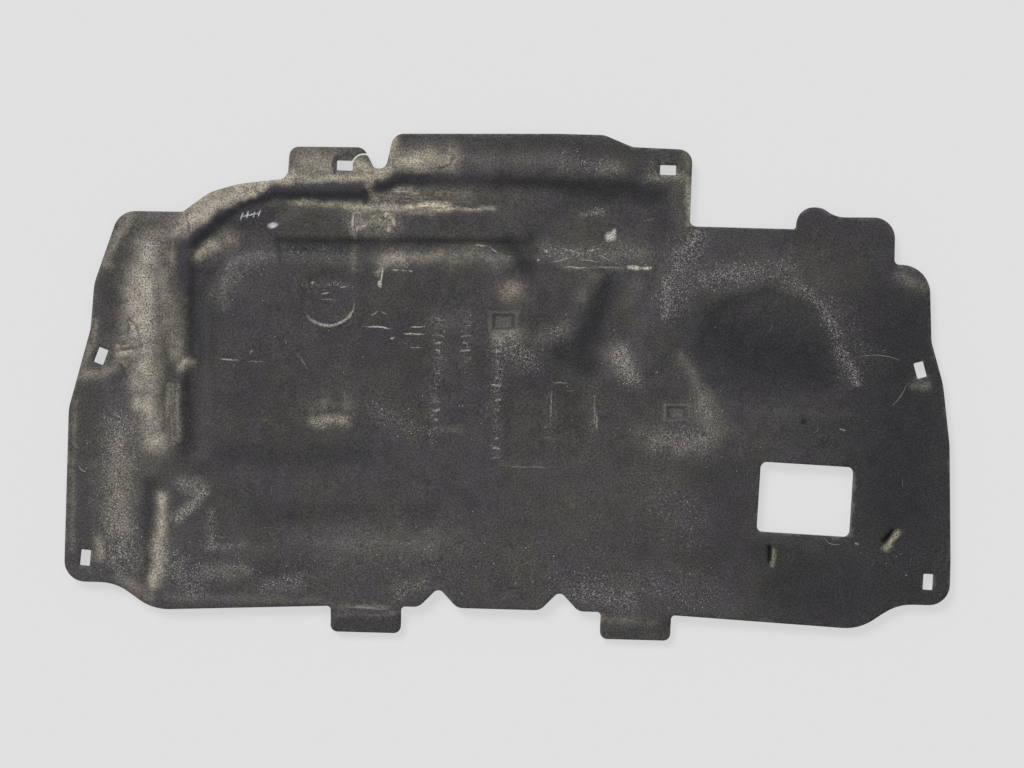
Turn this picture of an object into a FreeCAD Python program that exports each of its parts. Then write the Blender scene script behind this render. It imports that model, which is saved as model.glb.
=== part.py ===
"""Hood insulation pad: one pressed and die-cut felt sheet.

The pad lies on its flat back, +Z towards the engine, +Y towards the rear of the hood and +X to the right.
The origin is the middle of the bounding rectangle, on the flat back.
"""
import FreeCAD
import Part
import math
import os

# Driving dimensions, in millimetres.
PAD_LENGTH = 1107.0
PAD_WIDTH = 630.0
LOFT_THICKNESS = 14.0
FLANGE_THICKNESS = 4.0

# Sides of the bounding rectangle, which every place below is measured from.
LEFT = -PAD_LENGTH / 2.0
RIGHT = PAD_LENGTH / 2.0
FRONT = -PAD_WIDTH / 2.0
REAR = PAD_WIDTH / 2.0

# Levels of the felt.
TOP = LOFT_THICKNESS
FLANGE_BACK = TOP - FLANGE_THICKNESS

# A pressed wall: share of its run, and share of its height, at each of its bends.
WALL_BENDS = ((-0.25, -0.12), (0.25, 0.12), (0.75, 0.88), (1.0, 1.0))

# Front edge: the same on both sides, given outwards from the middle.
FRONT_EDGE_SETBACK = 34.0
FRONT_BOW = 12.5
OUTER_EDGE_DROP = 1.5
FRONT_CORNER_SETBACK = 54.0
FRONT_CORNER_RADIUS = 26.0
SHOULDER_START = 65.0
SHOULDER_END = 112.0
SHOULDER_RADIUS = 62.0
TAB_MIDDLE = -6.5
TAB_SPACING = 337.5
TAB_WIDTH = 88.0
TAB_CORNER_RADIUS = 9.0
TAB_ROOT_RADIUS = 5.0
TAB_JOG = 4.0
TAB_JOG_RUN = 9.0
NOTCH_MIDDLE = -9.5
NOTCH_SPACING = 151.5
NOTCH_WIDTH = 48.0
NOTCH_DEPTH = 25.0
NOTCH_TIP_RADIUS = 8.0
NOTCH_MOUTH_RADIUS = 16.0
FRONT_EDGE = FRONT + FRONT_EDGE_SETBACK
TAB_ROOT = FRONT_EDGE - OUTER_EDGE_DROP - TAB_ROOT_RADIUS - 0.5

# Corners of the die-cut outline beyond the front edge, anticlockwise: x, y, radius.
RIGHT_SIDE = (
    (RIGHT, FRONT + 110.0, 60.0),
    (RIGHT - 5.3, -60.0, 100.0),
    (RIGHT - 15.5, 15.0, 100.0),
    (RIGHT - 31.5, 68.0, 30.0),
    (RIGHT - 36.5, REAR - 152.5, 36.0),
    (RIGHT - 80.5, REAR - 151.5, 6.0),
    (RIGHT - 81.0, REAR - 93.0, 26.0),
)
ROUND_EAR = (
    (RIGHT - 155.9, REAR - 94.7, 38.0),
    (RIGHT - 172.6, REAR - 83.0, 22.0),
    (RIGHT - 201.8, REAR - 83.0, 21.0),
    (RIGHT - 205.0, REAR - 111.0, 4.0),
)
REAR_TONGUE = (
    (RIGHT - 337.5, REAR - 111.0, 8.0),
    (RIGHT - 336.5, REAR - 15.5, 17.0),
    (RIGHT - 411.5, REAR - 14.0, 18.0),
    (RIGHT - 447.5, REAR, 22.0),
    (RIGHT - 503.5, REAR, 60.0),
    (LEFT + 396.5, REAR - 5.6, 16.0),
)
REAR_TAB = (
    (LEFT + 387.6, REAR - 49.5, 10.0),
    (LEFT + 373.2, REAR - 49.5, 6.0),
    (LEFT + 359.2, REAR - 23.7, 13.0),
    (LEFT + 267.5, REAR - 25.2, 12.0),
    (LEFT + 265.2, REAR - 65.0, 12.0),
)
LEFT_SIDE = (
    (LEFT + 203.5, REAR - 74.0, 80.0),
    (LEFT + 168.5, REAR - 85.0, 60.0),
    (LEFT + 135.5, REAR - 110.5, 8.0),
    (LEFT + 56.5, REAR - 111.5, 28.0),
    (LEFT + 27.5, REAR - 203.0, 60.0),
    (LEFT + 24.5, 55.0, 60.0),
    (LEFT, -45.0, 60.0),
)

# Clip slots, all of one size: x, y of the middle and the turn of the long side in degrees.
SLOT_LENGTH = 20.0
SLOT_WIDTH = 12.5
SLOT_CORNER_RADIUS = 1.5
REAR_TAB_SLOT = (LEFT + 336.5, REAR - 47.0, 0.0)
CLIP_SLOTS = (
    REAR_TAB_SLOT,
    (RIGHT - 366.5, REAR - 41.5, 0.0),
    (LEFT + 38.5, 21.5, 71.0),
    (RIGHT - 44.5, 32.5, 106.0),
    (LEFT + 26.0, FRONT + 84.0, 86.0),
    (RIGHT - 27.5, FRONT + 83.0, 88.0),
)

# Window cut through the right front of the pad.
WINDOW_LENGTH = 118.0
WINDOW_WIDTH = 88.0
WINDOW_CORNER_RADIUS = 8.0
WINDOW_MIDDLE = (RIGHT - 183.0, FRONT + 181.5)
WINDOW_TURN = -2.0

# Tear that runs in an arc from the rear tab's slot to the notch beside the tongue.
TEAR_RADIUS = 15.0
TEAR_WIDTH = 2.0
TEAR_OVERLAP = 1.5

# Back of the thick middle, where its wall meets the underside of the flange.
BACK_RUN = 10.0
BACK_CORNER_RADIUS = 12.0
BACK_OUTLINE = (
    (LEFT + 56.5, FRONT + 82.0),
    (LEFT + 133.5, FRONT + 43.0),
    (TAB_MIDDLE - 101.0, FRONT_EDGE + NOTCH_DEPTH + 6.0),
    (TAB_MIDDLE + 101.0, FRONT_EDGE + NOTCH_DEPTH + 6.0),
    (RIGHT - 136.5, FRONT + 43.0),
    (RIGHT - 74.5, FRONT + 69.0),
    (RIGHT - 53.5, FRONT + 135.0),
    (RIGHT - 65.5, -31.0),
    (RIGHT - 76.5, 82.0),
    (RIGHT - 123.5, REAR - 166.0),
    (RIGHT - 199.5, REAR - 127.0),
    (RIGHT - 347.5, REAR - 125.0),
    (RIGHT - 357.5, REAR - 63.0),
    (RIGHT - 401.5, REAR - 45.0),
    (LEFT + 410.5, REAR - 48.0),
    (LEFT + 383.5, REAR - 61.0),
    (LEFT + 337.5, REAR - 64.0),
    (LEFT + 259.5, REAR - 73.0),
    (LEFT + 206.5, REAR - 84.0),
    (LEFT + 144.5, REAR - 113.0),
    (LEFT + 67.5, REAR - 138.0),
    (LEFT + 54.5, -33.0),
)

# Channel pressed round the left and rear of the middle, down to a thin web.
CHANNEL_WEB = 5.0
CHANNEL_RUN = 12.0
CHANNEL_CORNER_RADIUS = 4.0
CHANNEL_OUTLINE = (
    (LEFT + 178.5, -107.0),
    (LEFT + 172.5, 95.0),
    (LEFT + 201.5, REAR - 172.0),
    (RIGHT - 523.5, REAR - 161.0),
    (RIGHT - 442.5, REAR - 184.0),
    (RIGHT - 369.5, REAR - 212.0),
    (RIGHT - 356.5, REAR - 129.0),
    (RIGHT - 363.5, REAR - 79.0),
    (RIGHT - 401.5, REAR - 56.0),
    (LEFT + 408.5, REAR - 57.0),
    (LEFT + 380.5, REAR - 67.0),
    (LEFT + 356.5, REAR - 77.0),
    (LEFT + 246.5, REAR - 80.0),
    (LEFT + 201.5, REAR - 95.0),
    (LEFT + 143.5, REAR - 146.0),
    (LEFT + 138.5, -108.0),
)

# Raised bar that lies in the channel.
BAR_HEIGHT = 6.0
BAR_RUN = 8.0
BAR_CORNER_RADIUS = 8.0
BAR_OUTLINE = (
    (LEFT + 187.5, REAR - 147.0),
    (RIGHT - 511.5, REAR - 138.0),
    (RIGHT - 543.5, REAR - 94.0),
    (LEFT + 281.5, REAR - 101.0),
)

# Broad valley that runs out of the channel on the right of the middle.
VALLEY_WEB = 6.0
VALLEY_RUN = 26.0
VALLEY_CORNER_RADIUS = 8.0
VALLEY_OUTLINE = (
    (RIGHT - 501.5, 44.0),
    (RIGHT - 455.5, -2.0),
    (RIGHT - 409.5, 14.0),
    (RIGHT - 365.5, REAR - 211.0),
    (RIGHT - 373.5, REAR - 139.0),
    (RIGHT - 441.5, REAR - 147.0),
)

# Deep pocket on the right.
POCKET_WEB = 7.0
POCKET_RUN = 14.0
POCKET_CORNER_RADIUS = 20.0
POCKET_OUTLINE = (
    (RIGHT - 283.5, -27.0),
    (RIGHT - 133.5, -10.0),
    (RIGHT - 137.5, 42.0),
    (RIGHT - 182.5, REAR - 196.0),
    (RIGHT - 235.5, REAR - 180.0),
    (RIGHT - 302.5, REAR - 202.0),
    (RIGHT - 332.5, 47.0),
)

# Shallow panel in the middle.
PANEL_DEPTH = 3.0
PANEL_RUN = 6.0
PANEL_CORNER_RADIUS = 4.0
PANEL_OUTLINE = (
    (RIGHT - 561.5, -102.0),
    (RIGHT - 446.5, -94.0),
    (RIGHT - 453.5, -18.0),
    (RIGHT - 562.5, 16.0),
)

# Raised ridge along the left side.
RIDGE_HEIGHT = 4.0
RIDGE_RUN = 14.0
RIDGE_CORNER_RADIUS = 3.0
RIDGE_OUTLINE = (
    (LEFT + 101.5, -94.0),
    (LEFT + 127.5, -66.0),
    (LEFT + 129.5, 94.0),
    (LEFT + 120.5, REAR - 131.0),
    (LEFT + 75.5, REAR - 127.0),
    (LEFT + 62.5, REAR - 185.0),
    (LEFT + 66.5, 50.0),
    (LEFT + 73.5, -36.0),
)

# Groove in the left front corner.
GROOVE_DEPTH = 4.0
GROOVE_RUN = 7.0
GROOVE_CORNER_RADIUS = 4.0
GROOVE_OUTLINE = (
    (LEFT + 101.5, FRONT + 57.0),
    (LEFT + 127.5, FRONT + 58.0),
    (LEFT + 121.5, FRONT + 181.0),
    (LEFT + 94.5, FRONT + 180.0),
)

# Round and square stamps: middle, and for the square ones length and width.
STAMP_DEPTH = 2.0
STAMP_RUN = 3.0
STAMP_CORNER_RADIUS = 2.0
DISC_DIAMETER = 66.0
DISC_MIDDLE = (LEFT + 319.5, REAR - 212.0)
SQUARE_STAMPS = (
    (LEFT + 326.5, -32.0, 38.0, 32.0),
    (RIGHT - 566.5, 78.0, 30.0, 24.0),
    (RIGHT - 345.5, -30.0, 28.0, 22.0),
)


def left_of(direction):
    """The direction turned a quarter to the left, which points inwards on these outlines."""
    return FreeCAD.Vector(-direction.y, direction.x, 0.0)


def direction(start, finish):
    """Unit direction from one corner to another, seen in plan."""
    step = FreeCAD.Vector(finish[0] - start[0], finish[1] - start[1], 0.0)
    return step.normalize()


def rounded_wire(corners, z, inset=0.0, run=0.0):
    """Closed wire of straight runs and arcs at height z, moved inwards by inset.

    Each corner is x, y and the tightest radius that the wall of this run has there, so that the arcs of
    all wires of one wall share their centres.
    """
    arcs = []
    for i, (x, y, tightest) in enumerate(corners):
        arrive = direction(corners[i - 1], (x, y))
        leave = direction((x, y), corners[(i + 1) % len(corners)])
        turn = math.atan2(arrive.cross(leave).z, arrive.dot(leave))
        inward = left_of(arrive) + left_of(leave)
        middle = FreeCAD.Vector(x, y, z) + inward * (inset / (1.0 + math.cos(turn)))
        outermost = WALL_BENDS[0][0] * run
        radius = tightest + (run - inset if turn > 0.0 else inset - outermost)
        reach = radius * math.tan(abs(turn) / 2.0)
        rise = math.copysign(radius / math.cos(turn / 2.0) - radius, turn)
        crown = middle + inward.normalize() * rise
        arcs.append((middle - arrive * reach, crown, middle + leave * reach))
    edges = []
    for i, (start, crown, finish) in enumerate(arcs):
        edges.append(Part.LineSegment(arcs[i - 1][2], start).toShape())
        edges.append(Part.Arc(start, crown, finish).toShape())
    return Part.Wire(edges)


def plate(corners, bottom, top):
    """Flat plate with square, die-cut edges."""
    face = Part.Face(rounded_wire(corners, bottom))
    return face.extrude(FreeCAD.Vector(0.0, 0.0, top - bottom))


def pressed(points, radius, run, start, finish):
    """Solid whose S-shaped wall goes from the level start, at the outline, in to the level finish.

    The wall begins a little before the level start, so that it crosses that face at a clear angle.
    """
    corners = [(x, y, radius) for x, y in points]
    wires = []
    for along, up in WALL_BENDS:
        wires.append(rounded_wire(corners, start + up * (finish - start), along * run, run))
    return Part.makeLoft(wires, True, True)


def rectangle(middle, length, width, turn=0.0):
    """Corner points of a rectangle about its middle, turned anticlockwise by turn degrees."""
    along = FreeCAD.Vector(math.cos(math.radians(turn)), math.sin(math.radians(turn)), 0.0)
    across = left_of(along)
    points = []
    for end, side in ((-0.5, -0.5), (0.5, -0.5), (0.5, 0.5), (-0.5, 0.5)):
        step = along * (end * length) + across * (side * width)
        points.append((middle[0] + step.x, middle[1] + step.y))
    return points


def through_cut(points, radius):
    """Cutter that goes through the whole felt."""
    corners = [(x, y, radius) for x, y in points]
    return plate(corners, -1.0, TOP + 1.0)


def front_half(side):
    """Corners of one half of the front edge, from the middle outwards."""
    notch = NOTCH_MIDDLE + side * NOTCH_SPACING / 2.0
    half_notch = side * NOTCH_WIDTH / 2.0
    tab = TAB_MIDDLE + side * TAB_SPACING / 2.0
    half_tab = side * TAB_WIDTH / 2.0
    end = side * RIGHT
    return [
        (notch - half_notch, FRONT_EDGE, NOTCH_MOUTH_RADIUS),
        (notch, FRONT_EDGE + NOTCH_DEPTH, NOTCH_TIP_RADIUS),
        (notch + half_notch, FRONT_EDGE, NOTCH_MOUTH_RADIUS),
        (tab - half_tab, FRONT_EDGE, TAB_ROOT_RADIUS),
        (tab - half_tab, FRONT, TAB_CORNER_RADIUS),
        (tab + half_tab, FRONT, TAB_CORNER_RADIUS),
        (tab + half_tab, FRONT_EDGE - OUTER_EDGE_DROP, TAB_ROOT_RADIUS),
        (end - side * SHOULDER_END, FRONT_EDGE - FRONT_BOW, SHOULDER_RADIUS),
        (end - side * SHOULDER_START, FRONT + FRONT_CORNER_SETBACK, SHOULDER_RADIUS),
        (end, FRONT + FRONT_CORNER_SETBACK, FRONT_CORNER_RADIUS),
    ]


def pad_outline():
    """Corners of the whole die-cut outline, anticlockwise from the right front notch."""
    corners = front_half(1)
    corners += RIGHT_SIDE + ROUND_EAR + REAR_TONGUE + REAR_TAB + LEFT_SIDE
    corners += reversed(front_half(-1))
    return corners


def front_tab(tab, outline_block):
    """Front tab about the place tab, stepped down from the flange just beyond its root."""
    stations = ((TAB_ROOT, 0.0), (TAB_ROOT - TAB_JOG_RUN, TAB_JOG), (FRONT - 1.0, TAB_JOG))
    section = [(y, TOP - drop) for y, drop in stations]
    section += [(y, FLANGE_BACK - drop) for y, drop in reversed(stations)]
    points = [FreeCAD.Vector(tab - TAB_WIDTH, y, z) for y, z in section]
    face = Part.Face(Part.makePolygon(points + points[:1]))
    return face.extrude(FreeCAD.Vector(2.0 * TAB_WIDTH, 0.0, 0.0)).common(outline_block)


def flange():
    """Die-cut flange over the whole outline, with its two stepped front tabs."""
    outline = pad_outline()
    block = plate(outline, 0.0, TOP)
    sheet = plate(outline, FLANGE_BACK, TOP)
    for side in (-1, 1):
        tab = TAB_MIDDLE + side * TAB_SPACING / 2.0
        corner = FreeCAD.Vector(tab - TAB_WIDTH, FRONT - 1.0, 0.0)
        room = Part.makeBox(2.0 * TAB_WIDTH, TAB_ROOT - FRONT + 1.0, TOP + 1.0, corner)
        sheet = sheet.cut(room).fuse(front_tab(tab, block))
    return sheet


def pressed_face(pad):
    """The pad with the channel, bar, valley, pocket, panel, groove and ridge of its engine side."""
    pad = pad.cut(pressed(CHANNEL_OUTLINE, CHANNEL_CORNER_RADIUS, CHANNEL_RUN, TOP, CHANNEL_WEB))
    pad = pad.cut(pressed(VALLEY_OUTLINE, VALLEY_CORNER_RADIUS, VALLEY_RUN, TOP, VALLEY_WEB))
    bar_top = CHANNEL_WEB + BAR_HEIGHT
    pad = pad.fuse(pressed(BAR_OUTLINE, BAR_CORNER_RADIUS, BAR_RUN, CHANNEL_WEB, bar_top))
    pad = pad.cut(pressed(POCKET_OUTLINE, POCKET_CORNER_RADIUS, POCKET_RUN, TOP, POCKET_WEB))
    pad = pad.cut(pressed(PANEL_OUTLINE, PANEL_CORNER_RADIUS, PANEL_RUN, TOP, TOP - PANEL_DEPTH))
    pad = pad.cut(pressed(GROOVE_OUTLINE, GROOVE_CORNER_RADIUS, GROOVE_RUN, TOP, TOP - GROOVE_DEPTH))
    return pad.fuse(pressed(RIDGE_OUTLINE, RIDGE_CORNER_RADIUS, RIDGE_RUN, TOP, TOP + RIDGE_HEIGHT))


def stamped_face(pad):
    """The pad with its shallow round and square stamps."""
    foot = FreeCAD.Vector(DISC_MIDDLE[0], DISC_MIDDLE[1], TOP - STAMP_DEPTH)
    rim = DISC_DIAMETER / 2.0
    pad = pad.cut(Part.makeCone(rim - STAMP_RUN, rim, STAMP_DEPTH, foot))
    for x, y, length, width in SQUARE_STAMPS:
        points = rectangle((x, y), length, width)
        pad = pad.cut(pressed(points, STAMP_CORNER_RADIUS, STAMP_RUN, TOP, TOP - STAMP_DEPTH))
    return pad


def tear():
    """Cutter for the tear: the upper half of a narrow ring that starts inside the slot's side."""
    x = REAR_TAB_SLOT[0] + SLOT_LENGTH / 2.0 - TEAR_OVERLAP + TEAR_RADIUS
    y = REAR_TAB_SLOT[1]
    height = TOP + 2.0
    foot = FreeCAD.Vector(x, y, -1.0)
    outer = TEAR_RADIUS + TEAR_WIDTH / 2.0
    ring = Part.makeCylinder(outer, height, foot)
    ring = ring.cut(Part.makeCylinder(TEAR_RADIUS - TEAR_WIDTH / 2.0, height, foot))
    upper = Part.makeBox(2.0 * outer, outer, height, FreeCAD.Vector(x - outer, y, -1.0))
    return ring.common(upper)


def insulation_pad():
    """The whole pad as one solid."""
    pad = flange().fuse(pressed(BACK_OUTLINE, BACK_CORNER_RADIUS, BACK_RUN, FLANGE_BACK, 0.0))
    pad = stamped_face(pressed_face(pad))
    for x, y, turn in CLIP_SLOTS:
        pad = pad.cut(through_cut(rectangle((x, y), SLOT_LENGTH, SLOT_WIDTH, turn), SLOT_CORNER_RADIUS))
    opening = rectangle(WINDOW_MIDDLE, WINDOW_LENGTH, WINDOW_WIDTH, WINDOW_TURN)
    pad = pad.cut(through_cut(opening, WINDOW_CORNER_RADIUS))
    return pad.cut(tear()).Solids[0]


os.makedirs("parts", exist_ok=True)
insulation_pad().exportStep("parts/insulation_pad.step")
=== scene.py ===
"""Looks of a used hood insulation pad: a sheet of pressed charcoal felt, dusty, rubbed and stained.

The die-cut outline and the pressed heights come from the CAD solid. This script lays a fine skin of
triangles over them, softens the pressed corners as felt does, sags and dents it, and paints its dirt and a
painted shade on its walls, dips and slits with broad brush strokes kept as vertex attributes, which the
felt's shader breaks up into grains.
"""

import math

import bpy
import numpy as np
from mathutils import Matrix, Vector
from mathutils.geometry import delaunay_2d_cdt


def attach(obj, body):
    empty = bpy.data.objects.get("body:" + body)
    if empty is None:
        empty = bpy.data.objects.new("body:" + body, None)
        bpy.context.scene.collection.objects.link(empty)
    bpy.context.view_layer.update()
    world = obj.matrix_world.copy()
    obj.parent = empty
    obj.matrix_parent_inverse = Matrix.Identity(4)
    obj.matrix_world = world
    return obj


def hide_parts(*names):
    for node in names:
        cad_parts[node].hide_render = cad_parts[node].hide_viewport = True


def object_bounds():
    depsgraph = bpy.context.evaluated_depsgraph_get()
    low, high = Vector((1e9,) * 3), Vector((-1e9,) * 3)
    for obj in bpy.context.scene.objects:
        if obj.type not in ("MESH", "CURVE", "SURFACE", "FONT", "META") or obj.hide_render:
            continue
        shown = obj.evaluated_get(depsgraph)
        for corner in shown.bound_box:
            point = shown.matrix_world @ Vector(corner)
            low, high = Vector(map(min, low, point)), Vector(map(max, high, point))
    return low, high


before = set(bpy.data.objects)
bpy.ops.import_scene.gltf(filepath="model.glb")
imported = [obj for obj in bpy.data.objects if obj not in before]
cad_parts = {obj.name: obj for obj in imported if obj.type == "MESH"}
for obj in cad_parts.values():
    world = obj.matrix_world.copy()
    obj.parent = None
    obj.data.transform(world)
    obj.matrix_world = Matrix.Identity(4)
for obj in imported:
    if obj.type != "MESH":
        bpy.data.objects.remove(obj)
cad_low, cad_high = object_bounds()

MM = 0.001
SEED = 20

# Sizes of the skin's triangles in mm, the share of a stroke that counts as fine, the room at the rim as a
# share of the spacing, and twice the area in square mm under which a triangle is a sliver
TOP_SPACING = 2.1
BACK_SPACING = 4.5
RIM_SPACING = 2.6
FINE_SHARE = 0.4
RIM_ROOM = 0.75
SLIVER_AREA = 0.02

# Gap in metres under which the triangulation welds points, and points tested against the outline at a time
WELD = 1e-7
BATCH = 4000

# How the outline is read from the solid: the upward part of an upright triangle's normal, and the steps to a
# metre in which plan points are counted. Upright lines that find heights start this far off, in metres.
UPRIGHT = 0.01
PLAN_STEPS = 1e5
PROBE_START = 0.1

# Softness of the felt: rounding of the die-cut edges in mm, apart from rims this near the floor, and rounds
# of smoothing
EDGE_ROUND = 0.6
FLOOR_REACH = 1
TOP_SOFTENING = 5
BACK_SOFTENING = 3

# Waves of the felt and of the strokes' borders: height or shift, and length, in mm. Each is a sum of this
# many plane waves, and the rim has only a share of the felt's.
WAVE_COUNT = 16
SAG = ((0.5, 70), (0.1, 17))
RIM_SAG = 0.3
RAGGED = ((1.6, 40), (0.8, 13))

# Backdrop colour, how much of it the floor shows of itself, and the floor's half-size and drop in metres
BACKDROP = "#e1e1e2"
FLOOR_GLOW = 0.78
FLOOR_HALF = 4
FLOOR_DROP = 0.0004

# Levels of the two lights, and the spread in degrees and the direction of the key light
FILL_STRENGTH = 0.62
KEY_STRENGTH = 2.4
KEY_SPREAD = 25
KEY_FROM = (-0.55, 0.75, 0.8)

# Camera: sensor and lens in mm, place in metres, turn in degrees
SENSOR = 36
LENS = 73.1
CAMERA_PLACE = (-0.0006, 0.0008, 2.612)
CAMERA_TURN = 1.6

# Broad strokes where the top has its finest triangles, twice as fine as elsewhere
FINE_ZONES = (
    (30, 1, (-420, 210), (-290, 235), (-60, 215)),  # rear wall, bar and shoulder
    (36, 1, (-455, 160), (-455, -70)),  # ridge
    (26, 1, (-400, 170), (-395, 0)),  # left wall
    (24, 1, (-290, 175), (-20, 165), (20, 150)),  # bar foot and groove
    (34, 1, (-230, 90), (-240, 110)),  # disc
    (22, 1, (-95, 80), (-95, -70)),  # worn columns
    (22, 1, (-58, 80), (-20, -90)),
    (20, 1, (-225, -30), (-225, -40)),  # stamps
    (20, 1, (-10, 78), (-8, 72)),
    (20, 1, (208, -32), (210, -36)),
    (16, 1, (60, 150), (180, 150)),  # crease
    (20, 1, (-490, -100), (-490, -220)),  # left front
    (22, 1, (-400, -150), (-440, -250)),  # hook and groove wall
    (14, 1, (331, -204), (332, -200)),  # gouges
    (16, 1, (476, -178), (478, -176)),
    (20, 1, (-140, 275), (-80, 280)),  # tongue end
    (26, 1, (-260, 265), (-180, 262)),  # rear tab
    (16, 1, (130, 35), (140, 25)),  # speckled blob
)

# Paths that more than one coat follows
HOOK = ((-383, -142), (-395, -162), (-415, -177))
HOOK_REAR = ((-408, -134), (-390, -143))
LEFT_RING = ((-317, 152), (-340, 150), (-358, 136), (-366, 113), (-361, 88))
FRONT_LEFT_PATCH = ((-376, -245), (-329, -241))
FRONT_LEFT_FOOT = ((-377, -211), (-335, -210))
VALLEY_LEFT_FOOT = ((33, 57), (65, 75))

# Brush strokes: half-width and strength, then the points of the stroke in mm

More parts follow.
